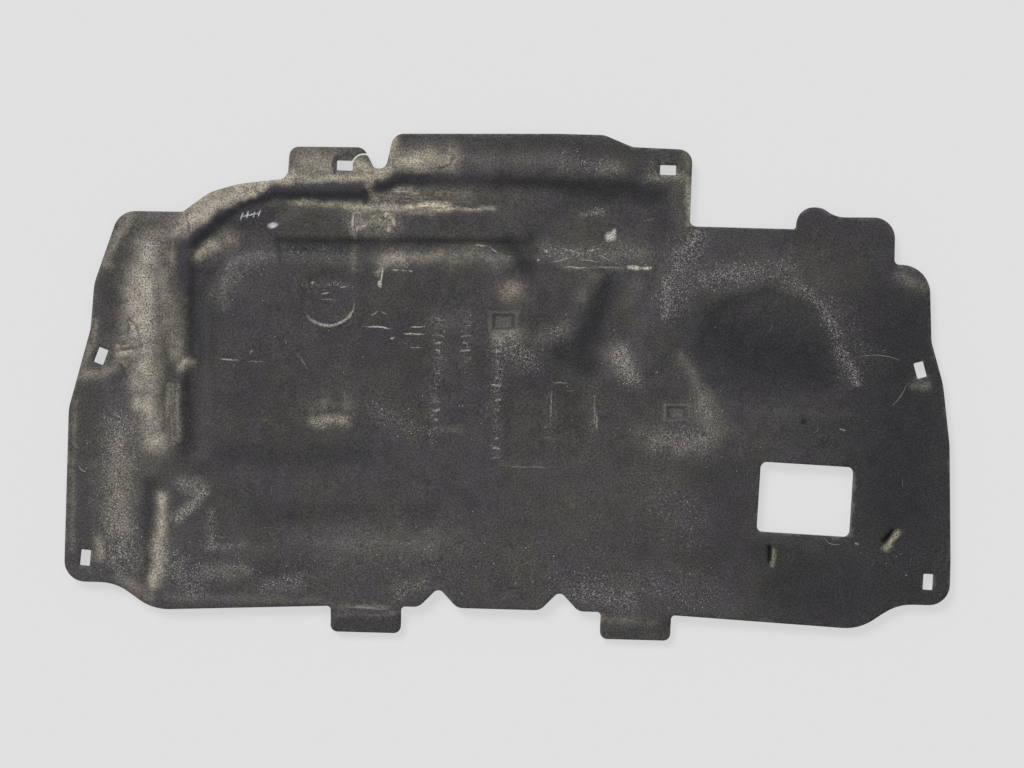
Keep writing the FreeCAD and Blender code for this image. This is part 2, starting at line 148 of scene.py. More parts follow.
# Pale road dust that settled on ledges, crests and corners
DUST = (
    (18.8, 0.72, (-269, 268), (-236, 269)),  # rear tab
    (11.2, 0.85, (-201, 270), (-188, 263)),  # rear tab beside the tear
    (7.5, 0.88, (-273, 248), (-229, 252), (-166, 254)),  # ledge under the rear tab
    (6.2, 0.85, (-216, 254), (-173, 252)),  # ledge, pale end
    (13.8, 1.2, (-412, 192), (-390, 210), (-366, 223), (-341, 234), (-312, 241), (-285, 248)),  # shoulder
    (7.5, 0.55, (-423, 184), (-401, 200)),  # left shoulder foot
    (6.2, 1.0, (-409, 204), (-389, 224), (-365, 236), (-340, 241), (-308, 246)),  # shoulder edge
    (13.8, 0.85, (-148, 276), (-111, 279), (-86, 279)),  # tongue end
    (6.2, 0.6, (-131, 273), (-86, 276)),  # tongue end, pale core
    (12.5, 0.14, (-80, 279), (52, 282)),  # tongue flange
    (11.2, 0.17, (-177, 233), (-60, 237)),  # bar rear slope
    (11.2, 0.08, (-60, 237), (28, 242)),  # bar rear slope, right
    (2.5, 0.6, (-157, 239), (-122, 240)),  # pale line on the slope
    (5, 0.6, (-287, 222), (-234, 221), (-209, 218)),  # bar crest, left
    (5, 0.8, (-215, 217), (-147, 219), (-122, 220)),  # bar crest
    (5, 1.15, (-134, 220), (-87, 221)),  # bar crest, brightest
    (2.5, 0.65, (-87, 220), (-29, 219)),  # bar crest, right
    (3.8, 0.5, (-209, 213), (-202, 210)),  # scab, top
    (5, 0.5, (-201, 190), (-181, 198)),  # scab, middle
    (3.8, 0.45, (-206, 198), (-204, 180)),  # scab, left
    (5, 0.6, (-161, 209), (-154, 199), (-161, 189)),  # scab, right
    (15, 0.42, (-196, 200), (-165, 196)),  # scab, haze
    (8.1, 1.0, (-400, 153), (-388, 160), (-377, 167)),  # channel corner
    (12.5, 0.38, (-388, 158), (-361, 176)),  # channel corner, haze
    (12.5, 0.45, (-456, 173), (-431, 179)),  # ridge, rear end
    (16.2, 0.8, (-460, 158), (-464, 124)),  # ridge crest, rear
    (20, 0.95, (-464, 124), (-469, 74), (-467, 53)),  # ridge crest
    (13.8, 0.46, (-445, 136), (-436, 94), (-427, 50), (-422, 29)),  # ridge right flank
    (18.8, 0.8, (-463, 28), (-458, -13)),  # ridge middle
    (15, 0.9, (-457, -32), (-448, -63), (-443, -82)),  # ridge crest, front
    (3.1, 0.45, (-430, -12), (-428, -81)),  # ridge front flank
    (2.2, 0.5, (-419, -12), (-416, -81)),  # ridge front line
    (6.2, 1.0, (-412, 13), (-408, 19)),  # nick in the ridge wall
    (6.2, 0.62, (-486, 195), (-499, 169), (-510, 139)),  # left edge strip
    (3.8, 0.42, (-520, 66), (-536, 3)),  # left edge strip, middle
    (3.1, 0.28, (-545, -34), (-546, -122), (-543, -222)),  # left edge strip, front
    (5.6, 0.9, (-490, 25), (-474, 30)),  # left clip land
    (8.1, 0.5, (-536, -5), (-513, 1), (-489, 12)),  # left clip ledge
    (21.2, 0.24, (-491, -89), (-485, -195)),  # left front haze
    (6.2, 0.6, (-514, -209), (-509, -229)),  # left front corner
    (8.8, 0.35, (-484, -255), (-446, -277)),  # left front edge
    (7.9, 0.88, (-433, -153), (-434, -188), (-437, -225), (-440, -262)),  # groove wall
    (6.9, 0.28, *HOOK),  # hook
    (11.2, 0.15, *FRONT_LEFT_PATCH),  # front left patch
    (7.5, 0.12, *FRONT_LEFT_FOOT),  # front left foot
    (13.8, 0.1, (-361, 111), (-347, 141), (-315, 155)),  # inner corner
    (10, 0.62, (-162, 153), (-142, 154)),  # groove lip
    (12.5, 0.22, (-80, 156), (-52, 167), (-20, 155)),  # groove lip, right
    (3.8, 0.6, (-161, 149), (-169, 134)),  # drip head
    (10, 0.55, (-10, 116), (0, 117)),  # sandy spot
    (22.5, 0.06, (-13, 118), (6, 106)),  # sandy spot, haze
    (7.5, 0.4, (-22, 61), (5, 61)),  # under the small frame
    (7.5, 0.4, (-244, -52), (-209, -50)),  # left stamp foot
    (12.5, 0.2, (-242, -31), (-210, -30)),  # left stamp
    (10, 0.16, (86, 113), (98, 137)),  # valley rear facet
    (12.5, 0.1, *VALLEY_LEFT_FOOT),  # valley left foot
    (13.8, 0.22, (131, 39), (149, 17)),  # valley foot blob
    (16.2, 0.2, (237, -13), (251, -50)),  # right blotch
    (16.2, 0.15, (180, -67), (236, -68)),  # right blotch, front
    (20, 0.1, (161, -55), (196, -59)),  # right blotch foot
    (17.5, 0.04, (231, 142), (337, 153)),  # rear right band
    (10, 0.25, (485, 148), (511, 138)),  # right lobe
    (42.5, 0.04, (89, -148), (176, -139)),  # front middle haze
    (37.5, 0.1, (-210, -206), (-97, -203)),  # front haze
    (5, 0.14, (-427, -276), (-220, -278)),  # front left rim
    (3.1, 0.28, (-208, -284), (-148, -282)),  # left tab root
    (3.1, 0.2, (-212, -293), (-138, -291)),  # left tab fold
    (6.2, 0.25, (118, -291), (186, -292)),  # right tab root
    (5, 0.2, (165, 263), (207, 264)),  # rear right clip
    (5.6, 0.3, (502, 14), (517, 14)),  # right clip
    (7.5, 0.2, (104, 274), (124, 274)),  # tongue specks
    (3.8, 0.7, (213, 262), (216, 209)),  # tongue right edge
    (10, 0.06, (197, 255), (203, 218)),  # tongue right haze
    (3.1, 0.15, (59, 149), (170, 149)),  # crease
    (15, 0.15, (40, 167), (155, 170)),  # crease, rear haze
    (17.5, 0.03, (45, -18), (56, -68)),  # panel, left haze
    (56.2, 0.07, (-508, 179), (-509, -8), (-497, -233)),  # left haze
    (32.5, 0.04, (-440, -32), (-434, -231)),  # left haze, inner
    (17.5, 0.38, (-434, 191), (-347, 226)),  # shoulder haze
    (30, 0.2, (-470, 168), (-460, 55), (-451, -94)),  # ridge haze
    (2, 0.9, (-494, 35), (-483, 36), (-472, 39)),  # wrinkle light
    (6.2, 0.7, (-420, 192), (-426, 179)),  # shoulder root
    (2.5, 0.6, (-419, -18), (-418, -53)),  # ridge flank line
    (2, 0.9, (-141, 223), (-89, 225)),  # bar crest, second line
    (7.5, 0.95, (-188, 261), (-161, 264)),  # notch foot
    (5, 0.8, (-154, 302), (-160, 279), (-163, 266)),  # notch right edge
    (8.8, 0.36, (-142, 156), (-98, 158)),  # groove lip, middle
    (10, 0.12, (144, 110), (156, 135)),  # valley front facet
    (6.2, 0.2, (208, 43), (229, 7)),  # pocket border
    (10, 1.05, (-463, -37), (-452, -42)),  # ridge front, bright
    (1.9, 0.4, (-425, -12), (-422, -87)),  # ridge front line, inner
    (10, 0.45, (-487, 62), (-479, 42)),  # fold beside the wrinkle
    (8.8, 0.28, (-479, 196), (-426, 198)),  # rear left flange
    (10, 0.4, (-442, 169), (-432, 141)),  # ridge, rear right flank
    (2.2, 0.5, (-429, 174), (-430, 141)),  # ridge rim line
    (5, 0.12, *LEFT_RING),  # left ring
    (10, 0.2, *HOOK_REAR),  # hook, rear
    (5, 0.6, (-189, 243), (-178, 226)),  # gap beside the rear wall
    (5, 0.34, (-137, 212), (-109, 212)),  # bar crest, foot
    (5, 0.22, (206, 295), (214, 279)),  # rear right corner
    (5, 0.16, (-89, -62), (-64, -56)),  # worn mark
    (12.5, 0.09, (-95, 83), (-55, 79)),  # worn haze
    (10, 0.12, (1, 61), (15, 69)),  # right of the small frame
    (3.8, 0.25, (-203, 165), (-203, 140)),  # streak below the bar
    (6.2, 0.05, (310, -26), (417, -25)),  # pocket front ledge
)

# Where the dust is warm and sandy instead of grey
SAND = (
    (17.5, 0.25, (-146, 277), (-80, 281)),  # tongue end
    (7.5, 0.35, (-272, 220), (-34, 220)),  # bar crest
    (5, 1.0, (-137, 220), (-84, 221)),  # bar crest, brightest
    (12.5, 0.15, (-408, 188), (-285, 245)),  # left shoulder flange
    (7.5, 0.35, (-235, 252), (-163, 251)),  # ledge
    (12.5, 0.3, (-198, 268), (-178, 261)),  # rear tab right
    (7.5, 0.5, (-161, 209), (-156, 192)),  # scab right
    (15, 0.4, (-14, 118), (1, 118)),  # spot
    (25, 0.2, (222, -13), (236, -63)),  # right blotch
    (6.2, 0.3, (215, 268), (216, 206)),  # tongue right edge
    (5, 0.5, (-169, 136), (-166, 117)),  # drip
    (22.5, 0.25, (-491, -89), (-485, -208)),  # left front
    (17.5, 0.12, (-463, 155), (-453, -82)),  # ridge
    (12.5, 0.6, (-182, 233), (-47, 237)),  # bar rear slope
)

# Loose grit and rubbed fibre ends, seen as pale grains
GRIT = (
    (11.2, 0.95, (-460, 158), (-459, 37)),  # ridge crest
    (7.5, 1.2, (-462, 149), (-455, 49)),  # ridge core
    (12.5, 0.2, (-457, 31), (-448, -82)),  # ridge front
    (21.2, 0.85, (-489, -68), (-490, -120), (-489, -170), (-484, -227)),  # left front
    (25, 0.3, (-498, -83), (-489, -233)),  # left front, outer
    (20, 0.62, (-435, -219), (-396, -263)),  # left front, foot
    (6.9, 1.0, *HOOK),  # hook
    (6.2, 0.6, (-373, -170), (-370, -215)),  # front column
    (6.2, 0.45, *FRONT_LEFT_FOOT),  # front foot
    (10, 0.5, *FRONT_LEFT_PATCH),  # front left patch
    (10, 0.6, (-301, -260), (-259, -252)),  # front left specks
    (16.2, 0.62, (231, 140), (305, 149)),  # rear right
    (12.5, 0.35, (287, 149), (343, 158)),  # rear right end
    (10, 0.65, (343, 135), (371, 124)),  # pocket rear rim
    (8.1, 0.68, (371, 124), (394, 94), (405, 73)),  # pocket right rim
    (7.5, 0.88, (406, 55), (419, 37), (430, 15)),  # pocket right foot
    (25, 0.2, (381, 129), (440, 43)),  # pocket right haze
    (7.5, 1.0, (191, 132), (188, 96)),  # valley side
    (10, 0.9, (194, 136), (206, 169), (225, 195)),  # valley side, rear
    (20, 0.65, (217, 181), (196, 111)),  # valley side, haze
    (12.5, 0.95, (133, 42), (149, 15)),  # valley foot blob
    (11.2, 0.35, *VALLEY_LEFT_FOOT),  # valley left foot
    (8.8, 0.38, (-93, 76), (-91, 12)),  # worn column
    (8.8, 0.28, (-98, -3), (-99, -69)),  # worn column, front
    (8.8, 0.25, (-59, 77), (-57, 14)),  # worn column two
    (10, 0.5, (-21, 59), (-17, -10)),  # worn column three
    (10, 0.25, (-25, -20), (-13, -97)),  # worn column three, front
    (32.5, 0.1, (-53, -21), (-26, -82)),  # worn middle
    (7.5, 0.25, (48, -3), (48, -68)),  # panel left column
    (7.5, 0.25, (103, -1), (101, -66)),  # panel right column
    (47.5, 0.1, (110, -16), (112, -91)),  # right of the panel
    (10, 0.4, (37, 167), (155, 170)),  # crease rear
    (3.8, 0.9, (81, 217), (108, 218)),  # crease specks
    (10, 0.5, (58, 283), (121, 273)),  # tongue specks
    (7.5, 0.45, (162, 265), (210, 264)),  # rear right clip
    (47.5, 0.15, (-384, -225), (116, -224)),  # front
    (17.5, 0.6, (94, -257), (154, -265)),  # front right
    (45, 0.1, (-332, 122), (-330, 59)),  # left middle
    (17.5, 0.3, (-359, 116), (-317, 152)),  # inner corner
    (12.5, 0.25, (-283, 158), (-214, 152)),  # rear left floor
    (25, 0.1, (-249, 116), (-218, 100)),  # disc
    (7.5, 0.8, (-244, -52), (-209, -51)),  # left stamp foot
    (15, 0.4, (-165, -36), (-126, -60)),  # left stamp right
    (31.2, 0.1, (465, -206), (515, -205)),  # right flange
    (37.5, 0.05, (444, 118), (460, -31)),  # right side
    (17.5, 0.05, (-124, 284), (27, 284)),  # tongue
    (11.2, 0.1, (-414, 189), (-297, 240)),  # shoulder
    (10, 0.2, (-182, 236), (-122, 232)),  # bar slope
    (7.5, 0.35, (-278, 247), (-223, 248)),  # ledge
    (12.5, 0.1, (-201, -300), (-139, -298)),  # tabs
    (12.5, 0.12, (125, -301), (193, -301)),  # right tab
    (50, 0.1, (182, 73), (236, -63)),  # middle right
    (10, 0.5, (-162, 149), (-140, 149)),  # groove lip
    (11.2, 0.2, (-76, 160), (-20, 158)),  # groove lip right
    (17.5, 0.5, (180, -64), (243, -62)),  # right blotch, front
    (15, 0.45, (235, -6), (251, -52)),  # right blotch, side
    (37.5, 0.22, (175, -114), (227, -163)),  # front right specks
    (15, 0.7, (-11, 49), (21, 31)),  # under the small frame
    (3.8, 0.6, (167, 279), (170, 264)),  # clip specks
    (6.2, 0.3, *LEFT_RING),  # left ring
    (32.5, 0.1, (-267, 61), (-114, -72)),  # channel floor
    (10, 0.55, *HOOK_REAR),  # hook, rear
    (16.2, 0.45, (208, 129), (258, 139), (320, 150)),  # rear right band
    (30, 0.3, (66, -249), (254, -252)),  # front right, haze
    (10, 0.6, (-136, -261), (-104, -250)),  # front notch
    (15, 0.4, (-201, 198), (-159, 199)),  # scab
    (3.8, 0.5, (-261, 119), (-204, 120)),  # disc, rear
)

# Painted shade in dips, on pressed walls and in the gouges' slits, and stains where the felt took up oil
SOOT_AND_SHADE = (
    (10, 0.65, (-408, -11), (-403, -93)),  # left wall, front
    (17.5, 0.35, (-394, 126), (-380, 58)),  # channel floor corner
    (13.8, 0.8, (-23, 253), (52, 252), (103, 246), (172, 241)),  # rear wall, tongue
    (10, 0.5, (172, 241), (184, 211), (194, 191)),  # tongue return
    (6.9, 0.6, (-285, 165), (-220, 171), (-164, 175)),  # bar foot
    (4.4, 0.6, (-301, 172), (-296, 145)),  # streaks under the shoulder
    (16.2, 1.0, (-13, 168), (15, 154)),  # bar end
    (10, 0.5, (15, 154), (40, 154)),  # groove end
    (15, 0.95, (112, 136), (107, 96), (95, 65), (77, 33)),  # valley wall
    (16.2, 0.9, (58, 42), (94, 26)),  # valley wall foot
    (62.5, 1.0, (270, 57), (373, 39)),  # pocket
    (87.5, 1.0, (482, 82), (497, -205)),  # right side
    (62.5, 0.85, (366, -240), (491, -243)),  # right front
    (30, 0.35, (366, 210), (454, 200)),  # round ear
    (10, 0.45, (-481, 185), (-498, 157), (-508, 117), (-507, 60)),  # left dip
    (17.5, 0.4, (-525, -28), (-526, -96)),  # left front side
    (7.5, 0.35, (-532, -122), (-530, -209)),  # left front edge dip
    (8.1, 0.75, (-450, -132), (-450, -176), (-450, -213)),  # groove
    (15, 0.35, (-323, -168), (-99, -162)),  # front dip
    (13.8, 0.4, (-363, -98), (-191, -93)),  # middle dip
    (10, 0.35, (-359, -237), (-47, -228)),  # front fold
    (12.5, 0.4, (178, -7), (225, -3)),  # right stamp
    (12.5, 0.3, (-49, 298), (151, 303)),  # tongue middle
    (50, 0.45, (265, -112), (268, -212)),  # window side
    (20, 0.6, (303, -201), (428, -202)),  # under the window
    (11.2, 0.5, (-212, -305), (-137, -303)),  # tabs
    (75, 0.65, (422, -7), (450, -94)),  # right middle
    (17.5, 0.5, (159, 10), (208, 49)),  # beside the valley
    (25, 0.3, (183, 61), (234, 12)),  # left of the pocket
    (3.8, 0.8, (-243, -23), (-213, -23)),  # left stamp, bar
    (3.8, 0.8, (-228, -23), (-227, -38)),  # left stamp, stem
    (3.1, 0.5, (-245, -39), (-237, -43)),  # left stamp, side
    (3.1, 0.5, (-217, -40), (-210, -35)),  # left stamp, other side
    (2.8, 0.2, (-265, 103), (-259, 124), (-242, 134), (-222, 132), (-206, 118)),  # disc
    (11.2, 0.6, (-312, 210), (-352, 189), (-380, 166)),  # shoulder floor
    (16.2, 0.5, (-388, 135), (-387, 95), (-384, 33)),  # channel floor, left
    (32.5, 0.5, (33, 69), (61, -43)),  # middle, right of the small frame
    (6.2, 0.5, (-236, 287), (-204, 288)),  # rear slot shadow
    (17.5, 0.55, (102, 261), (178, 241)),  # tongue floor
    (5.6, 0.45, (-164, 176), (-58, 179)),  # bar foot, right
    (17.5, 0.5, (291, -9), (422, -14)),  # pocket front
    (8.8, 0.5, (-512, -242), (-478, -241)),  # left front band
    (17.5, 0.3, (-450, -101), (-388, -111)),  # between ridge and hook
    (75, 0.16, (-304, 41), (-42, 42)),  # middle ground
    (62.5, 0.25, (160, -15), (164, -165)),  # right middle ground
    (12.5, 0.5, (124, -297), (199, -299)),  # right tab
    (12.5, 0.3, (481, 147), (500, 132)),  # right lobe
    (37.5, 0.2, (-93, 103), (-15, -7)),  # worn ground
    (3, 1.3, (327, -193), (328, -214)),  # slit of the left gouge
    (3.8, 1.3, (470, -183), (481, -170)),  # slit of the right gouge
)

# Painted shade on pressed walls, in wrinkles and round the rear slot, where no dust lies, with a sharp border
SHADED_WALLS = (
    (9.5, 1.0, (-302, 232), (-272, 235), (-235, 236), (-200, 237)),  # rear wall, left
    (3.2, 1.0, (-205, 241), (-192, 226)),  # rear wall, slanted end
    (7.8, 0.9, (-302, 231), (-329, 219), (-351, 207), (-372, 194), (-391, 179), (-405, 166)),  # shoulder wall
    (8, 0.75, (-409, 164), (-415, 142), (-410, 119), (-404, 102),
     (-399, 86), (-397, 60), (-396, 27)),  # left wall
    (7.5, 0.85, (-171, 246), (-154, 252), (-116, 255)),  # rear wall, right
    (2.8, 0.5, (-228, 278), (-210, 279)),  # frame of the rear slot, top
    (2.2, 0.7, (-230, 277), (-230, 259)),  # frame of the rear slot, side
    (1.9, 0.5, (-481, 70), (-471, 58), (-466, 45), (-464, 33)),  # wrinkle
    (1.5, 0.55, (-484, 67), (-482, 52)),  # wrinkle, short
    (2, 0.6, (-490, 10), (-483, -5)),  # wrinkle, front
    (1.6, 0.5, (-413, 204), (-409, 179)),  # wrinkle, shoulder
    (1.6, 0.45, (-329, 239), (-325, 227)),  # wrinkle, shoulder right
    (1.5, 0.6, (-97, 268), (-80, 285)),  # crack in the tongue end
    (7.5, 0.3, (-116, 255), (-48, 257)),  # rear wall, far right
    (7.5, 0.12, (-469, 192), (-482, 177), (-489, 161), (-495, 142)),  # left dip
    (13.8, 0.1, (-502, 121), (-506, 92), (-509, 64)),  # left dip, front
    (1.5, 0.6, (-487, 30), (-467, 34)),  # wrinkle, across
    (13.8, 0.3, (234, 55), (251, 22), (273, -3), (353, -4)),  # pocket border
)

# Raw fibre where the skin of the felt is torn away
RAW = (
    (3.2, 0.6, (331, -199), (331, -216)),  # left gouge
    (4, 0.95, (473, -190), (486, -174)),  # right gouge
)

# Swells and dips of the felt: half-width and height in mm, then the points of the stroke
RELIEF = (
    (16, -2.5, (-345, -112), (-205, -108)),  # dip across the left middle
    (18, -2.5, (-270, -186), (-50, -182)),  # front dip
    (13, 2.0, (-280, -214), (-90, -212)),  # front swell
    (12, -1.5, (-320, -256), (-80, -256)),  # front fold
    (80, 2.0, (-230, 25), (-70, 25)),  # crown of the middle
    (3, -7.0, (328, -213), (327, -195)),  # left gouge
    (3, 1.5, (331, -216), (331, -199)),  # its lip
    (3.5, -7.0, (470, -183), (480, -171)),  # right gouge
    (3.5, 2.0, (475, -188), (486, -175)),  # its lip
    (6, -2.5, (365, -35), (369, -33)),  # dimple
    (9, 1.2, (-206, 208), (-202, 148)),  # streak down the bar
    (5, 1.0, (67, 150), (170, 151)),  # crease
    (10, -1.5, (-506, 194), (-495, 54)),  # left dip
    (12, 1.5, (-359, 115), (-347, 144), (-318, 154)),  # inner corner
    (2.2, 1.5, (-28, 88), (1, 88), (1, 69), (-28, 69), (-28, 88)),  # small frame
    (2.2, 1.5, (193, -21), (219, -21), (219, -37), (193, -37), (193, -21)),  # right frame
    (2.6, 1.2, (-262, 83), (-250, 71), (-233, 66), (-216, 71), (-204, 83)),  # lip at the disc's foot
)

# Columns of short worn ribs: x, first y, last y, pitch and half-length in mm, then a rib's half-width and
# height in mm
RIB_COLUMNS = (
    (-94, 78, 10, 9.5, 6),
    (-94, -2, -72, 11, 5),
    (-60, 77, 14, 9, 7),
    (-20, 58, -8, 8.5, 6),
    (-18, -20, -102, 12, 5),
)
RIB_WIDTH = 1.7
RIB_HEIGHT = 1.0

# Rubbed lines: centre, half-length, half-width in mm, turn in degrees, strength
SCRATCHES = (
    (148, 150.5, 11.5, 3.6, -6, 1.0),  # crease, bright end
    (164, 150.5, 8.5, 3.2, 4, 1.0),
    (118, 150, 24, 1.1, 0, 0.35),  # crease
    (75, 149, 18, 1.2, 0, 0.8),
    (68, 170, 18, 1.0, -14, 0.5),  # net of scratches behind the crease
    (97, 172, 10, 1.0, 14, 0.55),
    (57, 158, 17, 1.0, 16, 0.5),
    (90, 158, 15, 1.0, -6, 0.55),
    (80, 165, 9, 0.9, 38, 0.45),
    (110, 163, 14, 0.9, -22, 0.4),
    (38, 168, 2.4, 2.4, 0, 1.0),
    (28, 157, 2, 1.6, 20, 0.9),
    (-45, 173, 10, 1.2, -4, 0.75),  # arc beside the bar's end
    (-28, 168, 9, 1.1, -34, 0.65),
    (-170, 67, 21, 1.3, -3, 1.0),  # scratches right of the disc
    (-121, 69, 12, 1.2, 8, 0.9),
    (-125, 60, 16, 1.2, -2, 0.9),
    (-123, 43, 9, 1.0, 2, 0.5),
    (-253, 121, 3, 1.2, 10, 0.8),  # dashes on the disc
    (-216, 116, 4.5, 1.1, -5, 0.7),
    (-237, 108, 6, 1.2, 8, 0.8),
    (-233, 100, 14, 1.0, 0, 0.3),
    (-354, 21, 15, 1.4, -2, 0.7),  # left scratch
    (-320, 20, 14, 1.2, 0, 0.3),
    (-328, 32, 3, 1.2, 60, 0.8),
    (-262, 21, 16, 0.9, -53, 0.25),  # faint slanted line
    (-147, 238, 16, 1.1, 0, 0.7),  # pale line behind the bar
    (-147, 232, 56, 1.1, 0, 0.2),
    (-109, 227, 75, 1.1, 0, 0.2),
    (-176, -284, 32, 1.6, -2, 0.3),  # tab line
    (49, -25, 1.0, 28, 0, 0.35),  # panel sides
    (59, 4, 12, 1.0, 0, 0.35),
    (103, -31, 1.0, 30, 0, 0.25),
    (106, -42, 1.1, 14, 6, 0.6),
    (21, -102, 45, 1.2, 0, 0.15),
    (215, 237, 1.5, 32, 0, 0.5),  # frayed edge
    (-167, 131, 1.6, 14, -4, 1.0),  # drip
    (-169, 121, 3.2, 6.5, 0, 1.0),
    (-205, 198, 1.5, 14, 0, 0.8),  # scab on the bar
    (-191, 193, 5, 1.3, 25, 0.9),
    (-198, 209, 5, 1.2, -20, 0.6),
    (-154, 199, 1.8, 7, 10, 0.8),
    (-160, 190, 4, 1.6, 50, 0.7),
    (-180, 205, 6, 1.2, 40, 0.4),
    (-172, 202, 4, 1.2, -30, 0.6),
    (-200, 189, 1.3, 7, 5, 0.7),
    (-164, 208, 5, 1.6, 70, 0.7),
    (-150, 139, 5, 1.6, 0, 0.8),  # dashes under the groove's lip
    (-140, 139, 2.5, 1.4, 0, 0.7),
    (-131, 139, 3, 1.4, 0, 0.7),
    (-174, 84, 7, 1.0, 40, 0.45),  # small loop right of the disc
    (-162, 85, 6, 1.0, -35, 0.4),
    (-151, 54, 4, 1.4, 20, 0.8),
    (414, -45, 5, 1.2, -5, 0.7),  # specks on the right
    (436, -187, 3, 2.4, 0, 0.45),
    (118, 189, 9.5, 8.5, 20, 1.0),  # pale spot
    (121, 194, 4, 7, -15, 1.0),
    (-409.5, 17, 4.5, 3.2, 60, 0.9),  # nick in the ridge's wall
)

# Painted shade in slits and pits, drawn as the rubbed lines are
SHADED_SLITS = (
    (328, -203, 13, 3.4, 89, 1.0),  # left gouge
    (475, -177, 11, 4.4, 50, 1.0),  # right gouge
    (365, -36, 5.5, 4.5, 20, 0.8),  # dimple
)

# Crescent at the foot of the disc, rubbed felt with a painted highlight where the disc's wall faces the
# light: a disc less a second one, each with its centre and radius, then the patch in which it shows, drawn as
# the rubbed lines are
CRESCENT = ((-233, 100.5, 35.4), (-233.4, 103.2, 34.4))
CRESCENT_SPAN = (-226, 78, 42, 30, 12, 0.7)

# Small stamped frames: centre, half-length, half-width in mm, turn in degrees
FRAMES = (
    (-13.5, 78.5, 17, 12, 1.6),
    (206, -29, 15.5, 9.5, 1.6),
)

# Distance in half-sizes that counts as far from every frame
FAR_OFF = 9.0

# Workshop tally in white marker, drawn as the rubbed lines are
TALLY = (
    (-345, 202, 6, 1.3, 74, 0.9),
    (-338, 204, 6, 1.3, 80, 0.9),
    (-330, 204, 6, 1.2, 77, 0.9),
    (-323, 206, 6, 1.3, 72, 0.9),
    (-334, 204, 15, 1.2, 12, 0.85),
    (-306, 191, 9, 5, 8, 0.9),
)

# Loose fibres: radius and bow in mm, then the start and the end
FIBRES = (
    (0.35, 4, (433, 47), (483, 44)),  # hair on the right side
    (0.3, 2, (492, 13), (475, -13)),
    (0.45, 3, (387, -181), (422, -182)),  # frayed lower edge of the window
    (0.4, -4, (394, -180), (414, -188)),
    (0.3, 2, (473, -189), (487, -176)),  # tuft beside the right gouge
    (0.3, -1, (332, -199), (333, -213)),  # tuft beside the left gouge
    (0.4, 3, (-210, 273), (-196, 287)),  # frayed tear
    (0.35, -2, (-190, 283), (-181, 272)),
    (0.55, -2, (-539, -116), (-529, -124)),  # hair on the left edge
)

# Rings along a fibre, sides of a ring, its lift over the felt as a share of its radius, and the start and
# the power of the sine that thins its ends
FIBRE_RINGS = 9
FIBRE_SIDES = 4
FIBRE_LIFT = 0.6
FIBRE_TIP = 0.04
FIBRE_TAPER = 0.4

# Stray fibres at random places: number, radius, shortest and longest length, and largest bow in mm
STRAY_COUNT = 40
STRAY_RADIUS = 0.18
STRAY_LENGTH = (5, 14)
STRAY_BOW = 3


def brushed(plan, strokes, flatness=2):
    """Strength of soft strokes at plan points, in metres: a bell of the distance to each stroke's line.

    The bell is e to the power of minus the distance over the half-width, raised to the flatness. The
    strongest stroke at a point counts.
    """
    total = np.zeros(len(plan))
    for width, strength, *points in strokes:
        line = np.array(points, float) * MM
        reach = np.full(len(plan), np.inf)
        for start, end in zip(line[:-1], line[1:]):
            run = end - start
            share = np.clip((plan - start) @ run / (run @ run), 0, 1)
            gap = plan - start - share[:, None] * run
            reach = np.minimum(reach, np.einsum("ij,ij->i", gap, gap))
        bell = strength * np.exp(-(np.sqrt(reach) / (width * MM)) ** flatness)
        total = np.where(np.abs(bell) > np.abs(total), bell, total)
    return total


def rib_strokes(value):
    """Short cross strokes down each column of ribs. Sine waves vary their lengths, slants and strengths."""
    strokes = []
    for x, first, last, pitch, half in RIB_COLUMNS:
        rows = np.arange(first, last, -pitch)
        turns = np.arange(len(rows)) + x
        reach = half * (0.65 + 0.35 * np.sin(1.9 * turns))
        slant = 1.3 * np.sin(3.1 * turns)
        worth = value * (0.7 + 0.3 * np.sin(1.3 * turns))
        for r, s, w, y in zip(reach, slant, worth, rows):
            strokes.append((RIB_WIDTH, w, (x - r, y - s), (x + r, y + s)))
    return strokes


def waves(plan, length, seed):
    """Even random waviness, about -1 to 1: a sum of plane waves of about one length and any direction."""
    draw = np.random.default_rng(seed)
    turn = draw.uniform(0, 2 * np.pi, WAVE_COUNT)
    pace = 2 * np.pi / (length * MM) * draw.uniform(0.7, 1.4, WAVE_COUNT)
    phase = draw.uniform(0, 2 * np.pi, WAVE_COUNT)
    along = plan @ np.stack([np.cos(turn), np.sin(turn)]) * pace + phase
    return np.sin(along).sum(axis=1) / math.sqrt(WAVE_COUNT)


def ragged(plan):
    """Plan points shifted by small waves, so that a stroke painted on them has an uneven border."""
    (far, long), (near, short) = RAGGED
    along = far * waves(plan, long, SEED + 2) + near * waves(plan, short, SEED + 3)
    across = far * waves(plan, long, SEED + 4) + near * waves(plan, short, SEED + 5)
    return plan + MM * np.column_stack([along, across])


